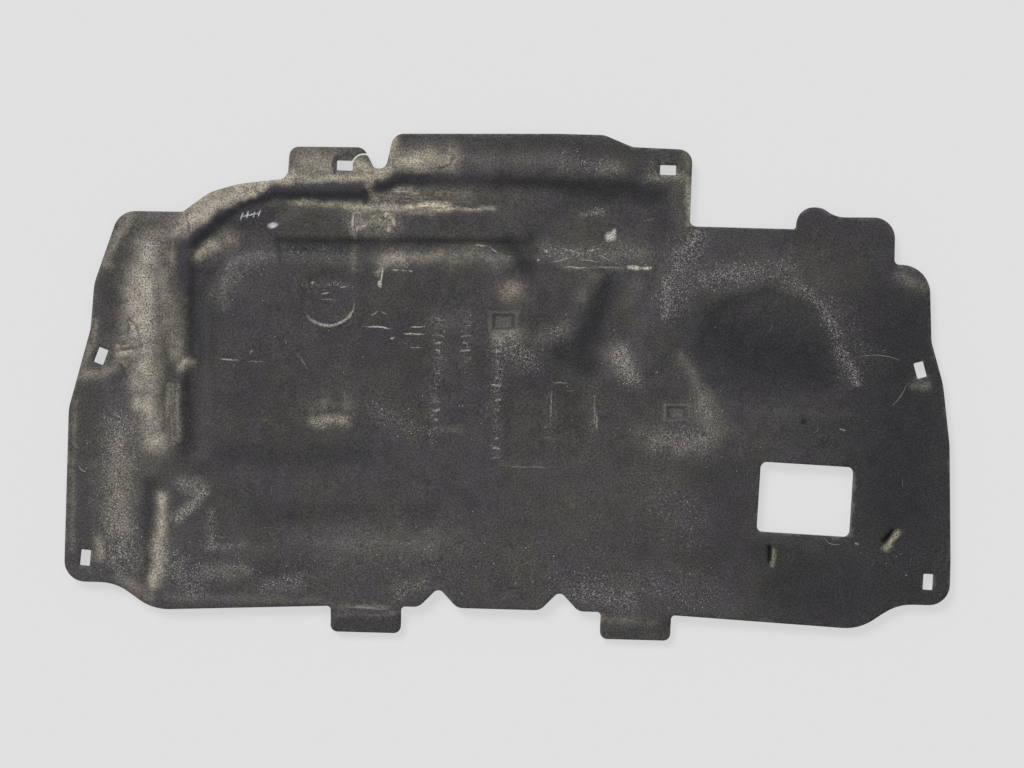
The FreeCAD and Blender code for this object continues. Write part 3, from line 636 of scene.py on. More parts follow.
def die_cut_outline(node):
    """Rim of the CAD solid seen from above: its points, its edges, and its lowest and highest heights.

    The upright triangles of the solid are its die-cut walls. Seen from above each is a line, and those
    lines, counted once each, are the outline, the window, the slots and the tear.
    """
    mesh = node.data
    place = np.empty(len(mesh.vertices) * 3)
    mesh.vertices.foreach_get("co", place)
    place = place.reshape(-1, 3)
    corner = np.empty(len(mesh.loops), np.int64)
    mesh.loops.foreach_get("vertex_index", corner)
    corner = corner.reshape(-1, 3)
    side = place[corner[:, 1:]] - place[corner[:, :1]]
    normal = np.cross(side[:, 0], side[:, 1])
    upright = np.abs(normal[:, 2]) < UPRIGHT * np.linalg.norm(normal, axis=1)
    steps = np.round(place[:, :2] * PLAN_STEPS).astype(np.int64)
    plan, where = np.unique(steps, axis=0, return_inverse=True)
    where = where.ravel()
    walls = where[corner[upright]]
    edges = np.concatenate([walls[:, [0, 1]], walls[:, [1, 2]], walls[:, [2, 0]]])
    edges = np.unique(np.sort(edges[edges[:, 0] != edges[:, 1]], axis=1), axis=0)
    low = np.full(len(plan), np.inf)
    high = np.full(len(plan), -np.inf)
    np.minimum.at(low, walls, place[corner[upright], 2])
    np.maximum.at(high, walls, place[corner[upright], 2])
    used, short = np.unique(edges, return_inverse=True)
    return plan[used] / PLAN_STEPS, short.reshape(-1, 2), low[used], high[used]


def finer_rim(points, edges, low, high):
    """Cuts each rim edge into equal runs of at most the rim spacing, with heights in proportion."""
    start, end = points[edges[:, 0]], points[edges[:, 1]]
    length = np.linalg.norm(end - start, axis=1)
    runs = np.maximum(1, np.ceil(length / (RIM_SPACING * MM))).astype(np.int64)
    first = np.cumsum(runs) - runs
    edge = np.repeat(np.arange(len(edges)), runs)
    step = np.arange(runs.sum()) - first[edge]
    made = step > 0
    share = (step / runs[edge])[made, None]
    number = np.cumsum(made) - 1 + len(points)
    tail = np.where(made, number, edges[edge, 0])
    last = step == runs[edge] - 1
    head = np.where(last, edges[edge, 1], np.roll(number, -1))
    column = np.column_stack([points, low, high])
    new = column[edges[edge[made], 0]] * (1 - share) + column[edges[edge[made], 1]] * share
    column = np.concatenate([column, new])
    return column[:, :2], np.column_stack([tail, head]), column[:, 2], column[:, 3]


def inside(points, rim, edges):
    """True where a line to the right of a point crosses the rim an odd number of times."""
    a, b = rim[edges[:, 0]], rim[edges[:, 1]]
    slope = (b[:, 0] - a[:, 0]) / np.where(b[:, 1] == a[:, 1], 1, b[:, 1] - a[:, 1])
    found = []
    for part in np.array_split(points, 1 + len(points) // BATCH):
        x, y = part[:, :1], part[:, 1:]
        spans = (a[:, 1] > y) != (b[:, 1] > y)
        right = x < a[:, 0] + (y - a[:, 1]) * slope
        found.append(np.count_nonzero(spans & right, axis=1) % 2 == 1)
    return np.concatenate(found)


def filled_plan(rim, edges, coarse_rim, coarse_edges, spacing, fine_zones):
    """Plan of one face: the rim's points, then a triangular lattice, joined by Delaunay triangles.

    Outside the fine zones only every second point of every second row stays, which is the same lattice at
    twice the spacing. Lattice points close to the rim are dropped, and so are triangles outside the outline
    or in a hole. Slivers along a straight rim stay at first, and those on its outer side then peel off,
    because each has a free side that isn't on the rim.
    """
    pitch = spacing * MM
    low, high = rim.min(axis=0), rim.max(axis=0)
    rows = np.arange(low[1], high[1], pitch * math.sqrt(0.75))
    columns = np.arange(low[0], high[0], pitch)
    lattice = np.stack(np.meshgrid(columns, rows), axis=-1)
    lattice[1::2, :, 0] += pitch / 2
    row, column = np.indices(lattice.shape[:2]).reshape(2, -1)
    lattice = lattice.reshape(-1, 2)
    sparse = (row % 2 == 0) & ((column + row // 2) % 2 == 0)
    lattice = lattice[sparse | (brushed(lattice, fine_zones) > FINE_SHARE)]
    cell = pitch * RIM_ROOM
    near = np.floor((rim - low) / cell).astype(np.int64)
    shifts = np.stack(np.meshgrid([-1, 0, 1], [-1, 0, 1]), axis=-1).reshape(-1, 2)
    near = (near[:, None] + shifts).reshape(-1, 2)
    stride = near.max() + 2
    own = np.floor((lattice - low) / cell).astype(np.int64)
    lattice = lattice[~np.isin(own @ [1, stride], near @ [1, stride])]
    lattice = lattice[inside(lattice, coarse_rim, coarse_edges)]
    plan = np.concatenate([rim, lattice])
    faces = np.array(delaunay_2d_cdt(plan.tolist(), edges.tolist(), [], 0, WELD, True)[2])
    one, two = (plan[faces[:, k]] - plan[faces[:, 0]] for k in (1, 2))
    sliver = np.abs(one[:, 0] * two[:, 1] - one[:, 1] * two[:, 0]) < SLIVER_AREA * MM ** 2
    faces = faces[sliver | inside(plan[faces].mean(axis=1), coarse_rim, coarse_edges)]
    on_rim = np.sort(edges, axis=1) @ [1, len(plan)]
    loose = np.ones(1, bool)
    while loose.any():
        sides = np.sort(faces[:, [[0, 1], [1, 2], [2, 0]]], axis=2) @ [1, len(plan)]
        _, own, uses = np.unique(sides, return_inverse=True, return_counts=True)
        free = uses[own].reshape(sides.shape) == 1
        loose = (free & ~np.isin(sides, on_rim)).any(axis=1)
        faces = faces[~loose]
    return plan, faces


def solid_heights(plan, node, from_above):
    """Heights at which upright lines through the plan points first meet the CAD solid."""
    mesh = bpy.data.meshes.new("probe")
    start = PROBE_START if from_above else -PROBE_START
    mesh.from_pydata(np.column_stack([plan, np.full(len(plan), start)]).tolist(), [], [])
    probe = bpy.data.objects.new("probe", mesh)
    bpy.context.scene.collection.objects.link(probe)
    drop = probe.modifiers.new("drop", "SHRINKWRAP")
    drop.target = node
    drop.wrap_method = "PROJECT"
    drop.use_project_z = True
    drop.use_negative_direction = from_above
    drop.use_positive_direction = not from_above
    met = probe.evaluated_get(bpy.context.evaluated_depsgraph_get()).data
    place = np.empty(len(plan) * 3)
    met.vertices.foreach_get("co", place)
    bpy.data.objects.remove(probe)
    bpy.data.meshes.remove(mesh)
    height = place[2::3]
    return np.where(np.isclose(height, start), np.median(height), height)


def softened(height, faces, rounds, held):
    """Moves each height half-way to its neighbours' mean, again and again, apart from the first ones."""
    edges = np.concatenate([faces[:, [0, 1]], faces[:, [1, 2]], faces[:, [2, 0]]])
    count = np.bincount(edges.ravel(), minlength=len(height))
    for _ in range(rounds):
        total = np.bincount(edges[:, 0], height[edges[:, 1]], len(height))
        total += np.bincount(edges[:, 1], height[edges[:, 0]], len(height))
        moved = (height + total / count) / 2
        moved[:held] = height[:held]
        height = moved
    return height


def to_linear(code):
    """Linear red, green, blue and alpha of an sRGB hex colour."""
    parts = [int(code[k:k + 2], 16) / 255 for k in (1, 3, 5)]
    return [p / 12.92 if p <= 0.04045 else ((p + 0.055) / 1.055) ** 2.4 for p in parts] + [1.0]


def add_node(tree, kind, inputs, **settings):
    """Adds one node. Its settings are properties, and each input is a value or the socket that feeds it."""
    node = tree.nodes.new(kind)
    for name, value in settings.items():
        setattr(node, name, value)
    for socket, value in inputs.items():
        if isinstance(value, bpy.types.NodeSocket):
            tree.links.new(value, node.inputs[socket])
        else:
            node.inputs[socket].default_value = value
    return node.outputs


# Kinds of node that the materials use many times, with the settings that they share
NOISE = "ShaderNodeTexNoise"
GRADIENT = "ShaderNodeTexGradient"
MAPPING = "ShaderNodeMapping"
VECTORS = "ShaderNodeVectorMath"
MATHS = "ShaderNodeMath"
RANGE = "ShaderNodeMapRange"
MIX = "ShaderNodeMix"
BALL = {"gradient_type": "SPHERICAL"}
FITTED = {"vector_type": "TEXTURE"}
SMOOTH = {"interpolation_type": "SMOOTHSTEP"}
COLOURS = {"data_type": "RGBA"}

# Sockets of a colour Mix node
MIX_SHARE, MIX_FROM, MIX_TO, MIX_RESULT = 0, 6, 7, 2

# Noises of the felt: size in mm, detail and roughness. Fibre ends and dust grains are a tenth of a
# millimetre and wouldn't show, so they and the grains of grit are drawn more than ten times as coarse.
FELT_NOISES = {
    "drift": (60, 4, 0.6),
    "smudge": (20, 4, 0.62),
    "film": (15, 5, 0.62),
    "edge": (9, 3, 0.6),
    "matting": (6, 3, 0.6),
    "fibre_ends": (2.0, 2, 0.65),
    "dust_grains": (1.6, 2, 0.7),
}
GRIT_SIZE = 1.4

# Streaks rubbed along the bar: length and width in mm
STREAK = (30, 1.8)

# Rubbed lines wander: size and reach of the wandering in mm. Matted fibres stand up this high in mm, drawn
# coarse like their noise, and a loose strand changes its shade over this length in mm.
SHAKE_SIZE = 12
SHAKE_REACH = 5
FIBRE_HEIGHT = 1.6
STRAND_SHADE = 30


def fitted(place, x, y, length, width, turn):
    """Place, turn and size that put the centre of a line, disc or frame at 0 and its half-sizes at 1."""
    return {
        "Vector": place,
        "Location": (x * MM, y * MM, 0),
        "Rotation": (0, 0, math.radians(turn)),
        "Scale": (length * MM, width * MM, 1),
    }


def line_mask(tree, place, rows):
    """Mask of lines such as rubbed lines, marker strokes and painted shade in slits: each is a ball-shaped
    gradient stretched to its length and width.
    """
    mask = 0.0
    for *row, strength in rows:
        centred = add_node(tree, MAPPING, fitted(place, *row), **FITTED)[0]
        ball = add_node(tree, GRADIENT, {0: centred}, **BALL)[1]
        line = add_node(tree, RANGE, {0: ball, 1: 0.0, 2: 0.6, 3: 0.0, 4: strength}, **SMOOTH)[0]
        mask = add_node(tree, MATHS, {0: mask, 1: line}, operation="MAXIMUM")[0]
    return mask


def rubbed_crescent_and_highlight_mask(tree, place):
    """Crescent of rubbed felt with a painted highlight: in the first disc, out of the second, near the middle
    of its span.
    """
    discs = []
    for x, y, radius in CRESCENT:
        centred = add_node(tree, MAPPING, fitted(place, x, y, radius, radius, 0), **FITTED)[0]
        ball = add_node(tree, GRADIENT, {0: centred}, **BALL)[1]
        discs.append(add_node(tree, RANGE, {0: ball, 1: 0.0, 2: 0.03}, **SMOOTH)[0])
    moon = add_node(tree, MATHS, {0: discs[0], 1: discs[1]}, operation="SUBTRACT", use_clamp=True)[0]
    span = line_mask(tree, place, (CRESCENT_SPAN,))
    return add_node(tree, MATHS, {0: moon, 1: span}, operation="MULTIPLY")[0]


def frame_reach(tree, place):
    """Distance from the centre of the nearest stamped frame, square in form and 1 at its outer edge."""
    reach = FAR_OFF
    for row in FRAMES:
        centred = add_node(tree, MAPPING, fitted(place, *row), **FITTED)[0]
        folded = add_node(tree, VECTORS, {0: centred}, operation="ABSOLUTE")[0]
        sides = add_node(tree, "ShaderNodeSeparateXYZ", {0: folded})
        far = add_node(tree, MATHS, {0: sides[0], 1: sides[1]}, operation="MAXIMUM")[0]
        reach = add_node(tree, MATHS, {0: reach, 1: far}, operation="MINIMUM")[0]
    return reach


def pressed_felt():
    """Needled polyester and cotton felt, hot-pressed: a matt charcoal skin of matted fibres.

    The eye sees a dark ground that drifts from violet-black to olive, a fine grain of fibre ends, a film of
    grey and sandy dust, dust-free walls darkened by painted shade, painted shade in dips and slits beside
    oily stains, a painted highlight on the crescent at the disc's foot, pale grit, rubbed lines, painted
    shade and highlight at the stamped frames, and worn pale edges.
    """
    material = bpy.data.materials.new("pressed_charcoal_felt")
    material.use_nodes = True
    tree = material.node_tree
    tree.nodes.clear()
    place = add_node(tree, "ShaderNodeTexCoord", {})["Object"]
    coat = {}
    for name in ("dust", "sand", "grit", "soot_and_shade", "wall", "raw", "rib", "rim"):
        coat[name] = add_node(tree, "ShaderNodeAttribute", {}, attribute_name=name)["Fac"]
    noise = {}
    for name, (size, detail, roughness) in FELT_NOISES.items():
        inputs = {"Vector": place, "Scale": 1 / (size * MM), "Detail": detail, "Roughness": roughness}
        noise[name] = add_node(tree, NOISE, inputs)[0]

    # Masks of the coats: what was painted, broken up by a noise
    patches = {}
    for name, breaker, low, high, least, most in (
        ("soot_and_shade", "fibre_ends", 0.36, 0.64, 1.0, 0.78),
        ("wall", "smudge", 0.35, 0.6, 0.85, 1.0),
        ("raw", "fibre_ends", 0.3, 0.6, 0.5, 1.0),
        ("dust", "film", 0.36, 0.62, 0.72, 1.08),
        ("rim", "edge", 0.42, 0.66, 0.0, 0.3),
    ):
        inputs = {0: noise[breaker], 1: low, 2: high, 3: least, 4: most}
        broken = add_node(tree, RANGE, inputs, **SMOOTH)[0]
        patches[name] = add_node(tree, MATHS, {0: coat[name], 1: broken}, operation="MULTIPLY")[0]

    # Dust is a film with a fine grain. None of it stays on the walls, and where it is sandy it is streaked
    grain = add_node(tree, RANGE, {0: noise["dust_grains"], 1: 0.36, 2: 0.64, 3: 0.85, 4: 1.08}, **SMOOTH)[0]
    bare = add_node(tree, MATHS, {0: 1.0, 1: patches["wall"]}, operation="SUBTRACT")[0]
    stretch = (1 / (STREAK[0] * MM), 1 / (STREAK[1] * MM), 0)
    along = add_node(tree, MAPPING, {"Vector": place, "Scale": stretch})[0]
    streak = add_node(tree, NOISE, {"Vector": along, "Scale": 1.0, "Detail": 3.0})[0]
    streak = add_node(tree, RANGE, {0: streak, 1: 0.38, 2: 0.56, 3: 0.7, 4: 0.0}, **SMOOTH)[0]
    streak = add_node(tree, MATHS, {0: streak, 1: coat["sand"]}, operation="MULTIPLY")[0]
    streak = add_node(tree, MATHS, {0: 1.0, 1: streak}, operation="SUBTRACT", use_clamp=True)[0]
    film = patches["dust"]
    for part in (grain, bare, streak):
        film = add_node(tree, MATHS, {0: film, 1: part}, operation="MULTIPLY")[0]
    film = add_node(tree, MATHS, {0: film, 1: 0.95}, operation="MINIMUM")[0]
    tints = {MIX_SHARE: coat["sand"], MIX_FROM: to_linear("#a09a8c"), MIX_TO: to_linear("#c8bca3")}
    dust_tint = add_node(tree, MIX, tints, **COLOURS)[MIX_RESULT]

    # The ground, then the coats on it from the lowest to the highest: oily stains with painted shade in dips
    # and slits, raw fibre, dust, and painted shade on the pressed walls
    share = add_node(tree, RANGE, {0: noise["drift"], 1: 0.36, 2: 0.64}, **SMOOTH)[0]
    tints = {MIX_SHARE: share, MIX_FROM: to_linear("#3f3c40"), MIX_TO: to_linear("#3f3e3a")}
    colour = add_node(tree, MIX, tints, **COLOURS)[MIX_RESULT]
    for mask, tint in (
        # Oily stains, and painted shade in dips, on walls and in slits
        (patches["soot_and_shade"], to_linear("#211f24")),
        (patches["raw"], to_linear("#8b8a74")),
        (film, dust_tint),
        # Painted shade on the pressed walls
        (patches["wall"], to_linear("#353339")),
    ):
        layers = {MIX_SHARE: mask, MIX_FROM: colour, MIX_TO: tint}
        colour = add_node(tree, MIX, layers, **COLOURS)[MIX_RESULT]

    # Matted fibre ends catch more or less light, most unevenly where grit has roughened them
    darkest = add_node(tree, MATHS, {0: coat["grit"], 1: -0.25, 2: 0.55}, operation="MULTIPLY_ADD")[0]
    palest = add_node(tree, MATHS, {0: coat["grit"], 1: 0.2, 2: 1.45}, operation="MULTIPLY_ADD")[0]
    inputs = {0: noise["fibre_ends"], 1: 0.36, 2: 0.64, 3: darkest, 4: palest}
    tone = add_node(tree, RANGE, inputs, **SMOOTH)[0]
    smudge = add_node(tree, RANGE, {0: noise["smudge"], 1: 0.36, 2: 0.64, 3: 0.88, 4: 1.1}, **SMOOTH)[0]
    tone = add_node(tree, MATHS, {0: tone, 1: smudge}, operation="MULTIPLY")[0]
    tone = add_node(tree, "ShaderNodeCombineColor", {0: tone, 1: tone, 2: tone})[0]
    layers = {MIX_SHARE: 1.0, MIX_FROM: colour, MIX_TO: tone}
    colour = add_node(tree, MIX, layers, blend_type="MULTIPLY", **COLOURS)[MIX_RESULT]

    # Loose grit: a stipple of pale grains, with a few brighter ones. Each cell has its lot, and the thicker
    # the grit, the more of them show
    cells = add_node(tree, "ShaderNodeTexVoronoi", {"Vector": place, "Scale": 1 / (GRIT_SIZE * MM)})
    lots = add_node(tree, "ShaderNodeSeparateColor", {0: cells["Color"]})
    thick = add_node(tree, MATHS, {0: coat["grit"], 1: 1.8}, operation="POWER")[0]
    few = add_node(tree, MATHS, {0: thick, 1: 0.4}, operation="MULTIPLY")[0]
    drawn = add_node(tree, MATHS, {0: few, 1: lots[0]}, operation="GREATER_THAN")[0]
    grains = add_node(tree, RANGE, {0: cells["Distance"], 1: 0.25, 2: 0.65, 3: 0.9, 4: 0.0}, **SMOOTH)[0]
    for part in (lots[1], drawn):
        grains = add_node(tree, MATHS, {0: grains, 1: part}, operation="MULTIPLY")[0]
    specks = add_node(tree, RANGE, {0: noise["dust_grains"], 1: 0.5, 2: 0.7, 3: 0.0, 4: 0.8}, **SMOOTH)[0]
    specks = add_node(tree, MATHS, {0: specks, 1: coat["grit"]}, operation="MULTIPLY", use_clamp=True)[0]
    specks = add_node(tree, MATHS, {0: specks, 1: grains}, operation="MAXIMUM")[0]

    # Rubbed lines and marker strokes, shaken by a little noise so that none is straight
    inputs = {"Vector": place, "Scale": 1 / (SHAKE_SIZE * MM), "Detail": 3.0}
    shake = add_node(tree, NOISE, inputs)["Color"]
    shake = add_node(tree, VECTORS, {0: shake, 1: (0.5, 0.5, 0.5)}, operation="SUBTRACT")[0]
    shake = add_node(tree, VECTORS, {0: shake, "Scale": SHAKE_REACH * MM}, operation="SCALE")[0]
    shaken = add_node(tree, VECTORS, {0: place, 1: shake}, operation="ADD")[0]
    worn = add_node(tree, RANGE, {0: noise["dust_grains"], 1: 0.38, 2: 0.6, 3: 0.15, 4: 1.0}, **SMOOTH)[0]
    inked = add_node(tree, RANGE, {0: noise["dust_grains"], 1: 0.36, 2: 0.52, 3: 0.4, 4: 1.0}, **SMOOTH)[0]
    rungs = add_node(tree, RANGE, {0: coat["rib"], 1: 0.3, 2: 0.85, 3: 0.0, 4: 0.75}, **SMOOTH)[0]
    rubbed = {}
    for name, mask, breaker in (
        ("lines", line_mask(tree, shaken, SCRATCHES), worn),
        ("rungs", rungs, worn),
        # The crescent is rubbed felt with a painted highlight on the disc's lit foot
        ("rubbed_crescent_and_highlight", rubbed_crescent_and_highlight_mask(tree, shaken), worn),
        ("marks", line_mask(tree, shaken, TALLY), inked),
    ):
        rubbed[name] = add_node(tree, MATHS, {0: mask, 1: breaker}, operation="MULTIPLY")[0]

    # Stamped frames: painted shade in a groove, with a paler edge on both sides that is a painted highlight
    # broken up like wear
    reach = frame_reach(tree, shaken)
    groove_shade = add_node(tree, RANGE, {0: reach, 1: 0.45, 2: 0.65, 3: 0.0, 4: 0.55}, **SMOOTH)[0]
    outer = add_node(tree, RANGE, {0: reach, 1: 0.8, 2: 0.95, 3: 1.0, 4: 0.0}, **SMOOTH)[0]
    groove_shade = add_node(tree, MATHS, {0: groove_shade, 1: outer}, operation="MULTIPLY")[0]
    edge = add_node(tree, RANGE, {0: reach, 1: 1.0, 2: 1.25, 3: 0.3, 4: 0.0}, **SMOOTH)[0]
    edge = add_node(tree, MATHS, {0: edge, 1: worn}, operation="MULTIPLY")[0]
    for mask, code in (
        # Painted highlight on the frames' edges, then painted shade in their grooves
        (edge, "#8f8c82"),
        (groove_shade, "#262427"),
        (specks, "#c9c5bd"),
        (patches["rim"], "#8f8c7c"),
        (rubbed["rungs"], "#b4b1a8"),
        # Painted highlight on the lit foot of the disc, with rubbed felt
        (rubbed["rubbed_crescent_and_highlight"], "#bfbdb3"),
        (rubbed["lines"], "#cbc8ba"),
        # Painted shade in slits and pits
        (line_mask(tree, place, SHADED_SLITS), "#0f0e10"),
        (rubbed["marks"], "#c9c8cf"),
    ):
        layers = {MIX_SHARE: mask, MIX_FROM: colour, MIX_TO: to_linear(code)}
        colour = add_node(tree, MIX, layers, **COLOURS)[MIX_RESULT]

    # Matted fibres and grains stand up from the skin
    relief = 0.0
    for height, part in ((noise["fibre_ends"], 0.5), (noise["matting"], 0.45), (specks, 0.3)):
        relief = add_node(tree, MATHS, {0: height, 1: part, 2: relief}, operation="MULTIPLY_ADD")[0]
    inputs = {"Strength": 0.5, "Distance": FIBRE_HEIGHT * MM, "Height": relief}
    bump = add_node(tree, "ShaderNodeBump", inputs)[0]
    rough = add_node(tree, RANGE, {0: noise["fibre_ends"], 1: 0.3, 2: 0.7, 3: 0.82, 4: 0.97})[0]
    inputs = {
        "Base Color": colour,
        "Roughness": rough,
        "Normal": bump,
        "Specular IOR Level": 0.3,
        "Sheen Weight": 0.08,
        "Sheen Roughness": 0.6,
    }
    shader = add_node(tree, "ShaderNodeBsdfPrincipled", inputs)[0]
    add_node(tree, "ShaderNodeOutputMaterial", {"Surface": shader})
    return material


def felt_pad(node):
    """The pad: a fine top and back over the CAD solid's heights, with upright walls between their rims."""
    coarse, coarse_edges, low, high = die_cut_outline(node)
    rim, edges, low, high = finer_rim(coarse, coarse_edges, low, high)
    count = len(rim)
    top, top_faces = filled_plan(rim, edges, coarse, coarse_edges, TOP_SPACING, FINE_ZONES)
    back, back_faces = filled_plan(rim, edges, coarse, coarse_edges, BACK_SPACING, ())

    upper = solid_heights(top, node, True)
    lower = solid_heights(back, node, False)
    upper[:count] = high - EDGE_ROUND * MM
    lower[:count] = low + EDGE_ROUND * MM * (low > FLOOR_REACH * MM)
    upper = softened(upper, top_faces, TOP_SOFTENING, count)
    lower = softened(lower, back_faces, BACK_SOFTENING, count)
    swell = brushed(top, RELIEF) + brushed(top, rib_strokes(RIB_HEIGHT))
    for number, (height, length) in enumerate(SAG):
        swell += height * waves(top, length, SEED + number)
    swell[:count] *= RIM_SAG
    upper = np.minimum(upper + swell * MM, cad_high.z)

    place = np.concatenate([np.column_stack([top, upper]), np.column_stack([back, lower])])
    directed = np.concatenate([top_faces[:, [0, 1]], top_faces[:, [1, 2]], top_faces[:, [2, 0]]])
    directed = directed[(directed < count).all(axis=1)]
    known = np.sort(edges, axis=1) @ [1, count]
    directed = directed[np.isin(np.sort(directed, axis=1) @ [1, count], known)]
    a, b = directed.T
    walls = np.column_stack([b, a, a + len(top), b + len(top)])
    faces = top_faces.tolist() + (back_faces[:, ::-1] + len(top)).tolist() + walls.tolist()

    mesh = bpy.data.meshes.new("felt_pad")
    mesh.from_pydata(place.tolist(), [], faces)
    smooth = np.arange(len(faces)) < len(top_faces) + len(back_faces)
    mesh.polygons.foreach_set("use_smooth", smooth)
    uneven = ragged(top)

    # Coats of the top: name, the plan they are painted on, their strokes, and how flat a stroke's middle is
    coats = (
        ("dust", uneven, DUST, 1.7),
        ("sand", uneven, SAND, 2),
        ("grit", uneven, GRIT, 1.7),
        # Oily stains with painted shade in dips and slits, then painted shade on the pressed walls
        ("soot_and_shade", uneven, SOOT_AND_SHADE, 2.4),
        ("wall", uneven, SHADED_WALLS, 4),
        ("raw", uneven, RAW, 3),
        ("rib", top, rib_strokes(1.0), 2),
    )
    for name, plan, strokes, flatness in coats:
        value = np.concatenate([brushed(plan, strokes, flatness), np.zeros(len(back))])
        mesh.attributes.new(name, "FLOAT", "POINT").data.foreach_set("value", value.astype(np.float32))
    worn = np.zeros(len(place), np.float32)
    worn[:count] = 1
    mesh.attributes.new("rim", "FLOAT", "POINT").data.foreach_set("value", worn)
    mesh.update()
    pad = bpy.data.objects.new("felt_pad", mesh)
    bpy.context.scene.collection.objects.link(pad)
    return pad


def fibre_material():
    """Loose polyester fibre: a thin, slightly glossy, pale grey-beige strand that varies along its length."""
    material = bpy.data.materials.new("loose_polyester_fibre")
    material.use_nodes = True
    tree = material.node_tree
    tree.nodes.clear()
    place = add_node(tree, "ShaderNodeTexCoord", {})["Object"]
    shade = add_node(tree, NOISE, {"Vector": place, "Scale": 1 / (STRAND_SHADE * MM), "Detail": 2.0})[0]
    colours = {MIX_SHARE: shade, MIX_FROM: to_linear("#67645a"), MIX_TO: to_linear("#b3afa2")}
    colour = add_node(tree, MIX, colours, **COLOURS)[MIX_RESULT]
    inputs = {"Base Color": colour, "Roughness": 0.55, "Specular IOR Level": 0.4}
    shader = add_node(tree, "ShaderNodeBsdfPrincipled", inputs)[0]
    add_node(tree, "ShaderNodeOutputMaterial", {"Surface": shader})
    return material


def loose_fibres(pad, node):
    """Thin closed tubes that lie on the felt.

    In plan each strand runs from its start to its end and bows sideways as a half sine. It lies at the
    height where upright lines meet the pad's skin, and the rings round it are squares that shrink at both
    ends. Strands that leave the outline are dropped.
    """
    outline, outline_edges, _, _ = die_cut_outline(node)
    draw = np.random.default_rng(SEED + 9)
    chosen = draw.uniform(outline.min(axis=0), outline.max(axis=0), (STRAY_COUNT, 2))
    turn = draw.uniform(0, np.pi, STRAY_COUNT)
    length = draw.uniform(*STRAY_LENGTH, STRAY_COUNT) * MM
    tip = chosen + length[:, None] * np.column_stack([np.cos(turn), np.sin(turn)])
    placed_radius, placed_bow, placed_start, placed_end = zip(*FIBRES)
    start = np.concatenate([np.array(placed_start) * MM, chosen])
    end = np.concatenate([np.array(placed_end) * MM, tip])
    radius = np.concatenate([placed_radius, np.full(STRAY_COUNT, STRAY_RADIUS)]) * MM
    bow = np.concatenate([placed_bow, draw.uniform(-STRAY_BOW, STRAY_BOW, STRAY_COUNT)]) * MM

    share = np.linspace(0, 1, FIBRE_RINGS)
    run = end - start
    side = np.column_stack([-run[:, 1], run[:, 0]]) / np.linalg.norm(run, axis=1)[:, None]
    path = start[:, None] + share[:, None] * run[:, None]
    path = path + (bow[:, None] * np.sin(np.pi * share))[..., None] * side[:, None]
    flat = path.reshape(-1, 2)
    height = solid_heights(flat, pad, True).reshape(path.shape[:2]) + radius[:, None] * FIBRE_LIFT
    keep = inside(flat, outline, outline_edges).reshape(path.shape[:2]).all(axis=1)
    path, height, radius, side = path[keep], height[keep], radius[keep], side[keep]

    angle = 2 * np.pi * np.arange(FIBRE_SIDES) / FIBRE_SIDES
    thin = np.sin(np.pi * (FIBRE_TIP + (1 - 2 * FIBRE_TIP) * share)) ** FIBRE_TAPER * radius[:, None]
    across = (np.cos(angle) * thin[..., None])[..., None] * side[:, None, None]
    up = np.sin(angle) * thin[..., None] + height[..., None]
    rings = np.concatenate([path[:, :, None] + across, up[..., None]], axis=-1)
    count = len(path)
    first = np.arange(count)[:, None, None] * FIBRE_RINGS * FIBRE_SIDES
    ring = first + np.arange(FIBRE_RINGS - 1)[:, None] * FIBRE_SIDES
    one = np.arange(FIBRE_SIDES)
    two = (one + 1) % FIBRE_SIDES
    walls = np.stack([ring + one, ring + one + FIBRE_SIDES, ring + two + FIBRE_SIDES, ring + two], axis=-1)
    last = first[:, 0] + (FIBRE_RINGS - 1) * FIBRE_SIDES
    caps = np.concatenate([first[:, 0] + one, last + one[::-1]])
    mesh = bpy.data.meshes.new("loose_fibres")
    mesh.from_pydata(rings.reshape(-1, 3).tolist(), [], walls.reshape(-1, 4).tolist() + caps.tolist())
    mesh.update()
    strands = bpy.data.objects.new("loose_fibres", mesh)
    bpy.context.scene.collection.objects.link(strands)
    return strands


def seen_ray(tree):
    """1 for rays from the camera, off gloss or through glass, which see the pale backdrop, and else 0."""
    rays = add_node(tree, "ShaderNodeLightPath", {})
    total = rays["Is Camera Ray"]
    for name in ("Is Glossy Ray", "Is Transmission Ray"):
        total = add_node(tree, MATHS, {0: total, 1: rays[name]}, operation="MAXIMUM")[0]
    return total


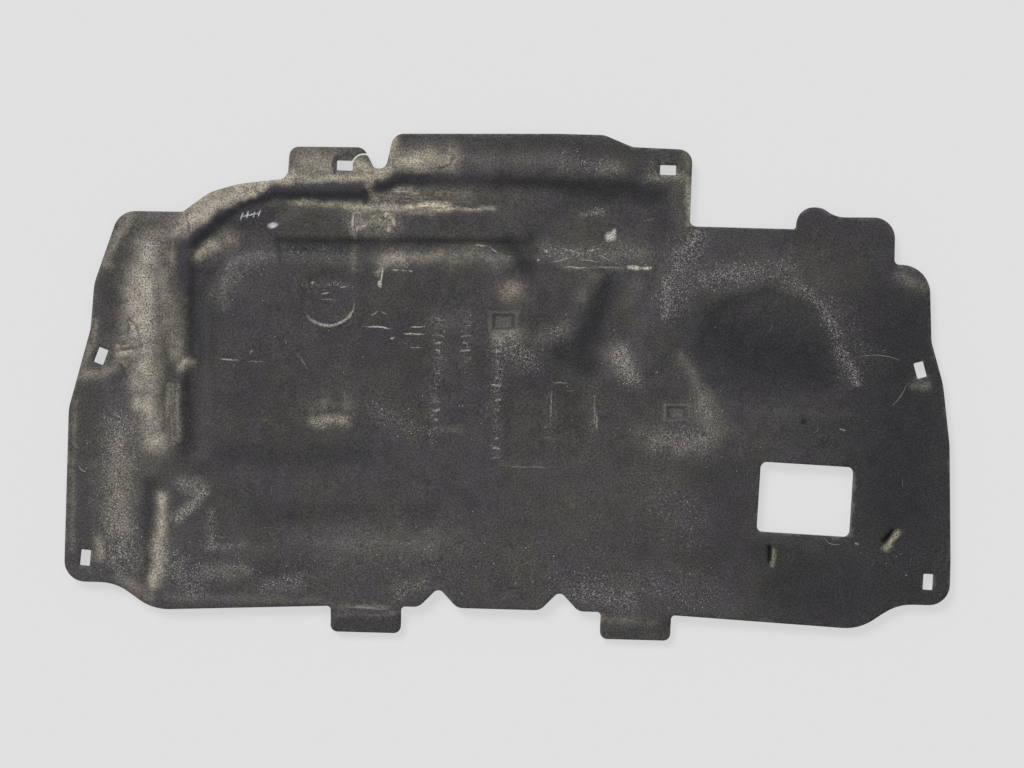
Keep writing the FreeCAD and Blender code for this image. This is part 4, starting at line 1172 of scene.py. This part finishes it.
def studio():
    """Pale floor, soft key light from the rear left, even fill, and a camera straight above."""
    floor_mesh = bpy.data.meshes.new("floor")
    corners = [(x * FLOOR_HALF, y * FLOOR_HALF, -FLOOR_DROP) for x, y in ((-1, -1), (1, -1), (1, 1), (-1, 1))]
    floor_mesh.from_pydata(corners, [], [(0, 1, 2, 3)])
    floor = bpy.data.objects.new("floor", floor_mesh)
    bpy.context.scene.collection.objects.link(floor)

    # Backdrop paper: matt, pale grey and even. It glows a little, so that it stays pale and keeps its shadow
    paper = bpy.data.materials.new("pale_grey_paper")
    paper.use_nodes = True
    tree = paper.node_tree
    tree.nodes.clear()
    pale = to_linear(BACKDROP)
    lit = add_node(tree, "ShaderNodeBsdfDiffuse", {"Color": pale})[0]
    glow = add_node(tree, "ShaderNodeEmission", {"Color": pale})[0]
    share = add_node(tree, MATHS, {0: seen_ray(tree), 1: FLOOR_GLOW}, operation="MULTIPLY")[0]
    both = add_node(tree, "ShaderNodeMixShader", {0: share, 1: lit, 2: glow})[0]
    add_node(tree, "ShaderNodeOutputMaterial", {"Surface": both})
    floor_mesh.materials.append(paper)

    key = bpy.data.lights.new("key", "SUN")
    key.energy = KEY_STRENGTH
    key.angle = math.radians(KEY_SPREAD)
    lamp = bpy.data.objects.new("key", key)
    lamp.rotation_euler = Vector(KEY_FROM).to_track_quat("Z", "Y").to_euler()
    bpy.context.scene.collection.objects.link(lamp)

    world = bpy.data.worlds.new("studio")
    world.use_nodes = True
    tree = world.node_tree
    tree.nodes.clear()
    fill = add_node(tree, "ShaderNodeBackground", {"Color": pale, "Strength": FILL_STRENGTH})[0]
    seen = add_node(tree, "ShaderNodeBackground", {"Color": pale, "Strength": 1.0})[0]
    both = add_node(tree, "ShaderNodeMixShader", {0: seen_ray(tree), 1: fill, 2: seen})[0]
    add_node(tree, "ShaderNodeOutputWorld", {"Surface": both})
    bpy.context.scene.world = world

    camera = bpy.data.cameras.new("camera")
    camera.sensor_width = SENSOR
    camera.lens = LENS
    view = bpy.data.objects.new("camera", camera)
    view.location = CAMERA_PLACE
    view.rotation_euler = (0, 0, math.radians(CAMERA_TURN))
    bpy.context.scene.collection.objects.link(view)
    bpy.context.scene.camera = view
    bpy.context.scene.view_settings.view_transform = "Standard"


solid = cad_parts["insulation_pad"]
pad = felt_pad(solid)
pad.data.materials.append(pressed_felt())
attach(pad, "root")
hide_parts("insulation_pad")
strands = loose_fibres(pad, solid)
strands.data.materials.append(fibre_material())
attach(strands, "root")
studio()
